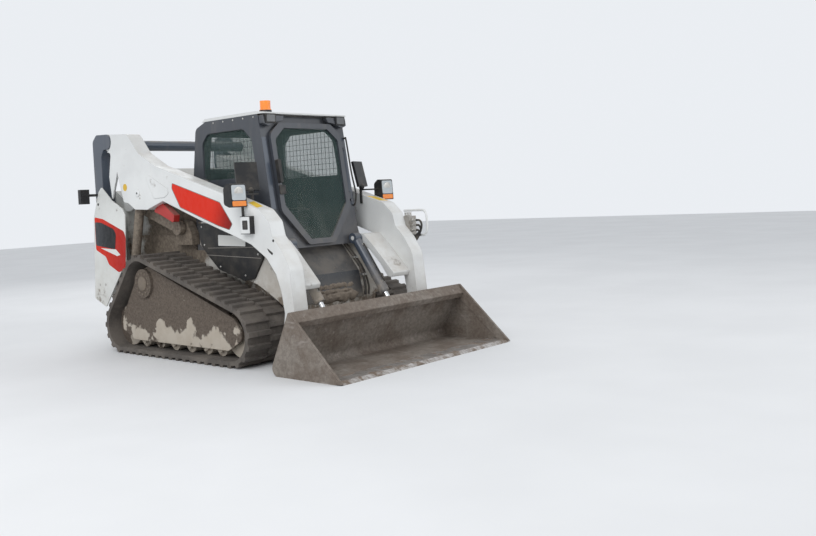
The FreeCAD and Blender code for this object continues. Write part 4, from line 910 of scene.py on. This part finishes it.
panels()
cab_trim()
lamps()
hydraulics()
dirt_and_wheels()
grille()
cushion("seat_base", [(-0.315, 0.985), (0.095, 0.985), (0.115, 1.02), (0.108, 1.066), (-0.18, 1.058),
                      (-0.30, 1.06)], 0.222, 0.018)
cushion("seat_back", [(-0.325, 1.085), (-0.215, 1.09), (-0.282, 1.60), (-0.305, 1.618), (-0.352, 1.612),
                      (-0.358, 1.57)], 0.205, 0.016)


# Studio

def studio():
    """A pale floor, a sky that looks a little brighter than it lights, and three soft lamps."""
    bpy.ops.mesh.primitive_plane_add(size=60, location=(0, 0, 0))
    floor = bpy.context.object
    floor.name = "floor"
    s = Shader("floor_paint")
    tone = s.mottle(s.noise(0.7, 3.0), (0.74, 0.745, 0.75), (0.78, 0.785, 0.79))
    floor.data.materials.append(s.finish(tone, 0.85))

    lighting, looking = 0.78, 0.92
    world = bpy.data.worlds.new("studio")
    bpy.context.scene.world = world
    world.use_nodes = True
    tree = world.node_tree
    back = tree.nodes["Background"]
    paths = tree.nodes.new("ShaderNodeLightPath")
    seen = tree.nodes.new("ShaderNodeMath")
    seen.operation = "MAXIMUM"
    tree.links.new(paths.outputs["Is Camera Ray"], seen.inputs[0])
    tree.links.new(paths.outputs["Is Glossy Ray"], seen.inputs[1])
    strength = tree.nodes.new("ShaderNodeMapRange")
    strength.inputs[3].default_value = lighting
    strength.inputs[4].default_value = looking
    tree.links.new(seen.outputs[0], strength.inputs[0])
    tree.links.new(strength.outputs[0], back.inputs["Strength"])
    back.inputs["Color"].default_value = (0.90, 0.93, 0.97, 1.0)

    aim = Vector((0, 0, 0.8))
    for name, place, power in (("key", (3.5, -7.0, 6.5), 300.0), ("fill", (8.0, 4.0, 4.5), 110.0),
                               ("back", (-7.0, 3.0, 6.0), 120.0)):
        lamp = bpy.data.lights.new(name, "AREA")
        lamp.size = 5.0
        lamp.energy = power
        holder = link(name, lamp)
        holder.location = place
        holder.rotation_euler = (aim - Vector(place)).to_track_quat("-Z", "Y").to_euler()


def photo_camera():
    """The photograph's view. Its numbers come from a fit to the machine's corners in the picture."""
    width, height = 816, 536                  # pixels
    focal, horizon_row = 898.5, 215.7         # pixels
    sensor = 36                               # millimetres
    place = (6.445, -5.316, 1.295)
    azimuth, pitch, roll = (math.radians(a) for a in (41.754, 1.204, -2.904))
    ahead = Vector((-math.sin(azimuth) * math.cos(pitch), math.cos(azimuth) * math.cos(pitch),
                    -math.sin(pitch)))
    level = Vector((math.cos(azimuth), math.sin(azimuth), 0))
    above = level.cross(ahead)
    right = math.cos(roll) * level + math.sin(roll) * above
    up = math.cos(roll) * above - math.sin(roll) * level
    lens = bpy.data.cameras.new("photo")
    lens.lens = focal / width * sensor
    lens.shift_y = (horizon_row - height / 2) / width
    camera = link("photo", lens)
    camera.matrix_world = Matrix((
        (right.x, up.x, -ahead.x, place[0]), (right.y, up.y, -ahead.y, place[1]),
        (right.z, up.z, -ahead.z, place[2]), (0, 0, 0, 1)))
    bpy.context.scene.camera = camera


studio()
photo_camera()
bpy.context.scene.view_settings.view_transform = "Standard"
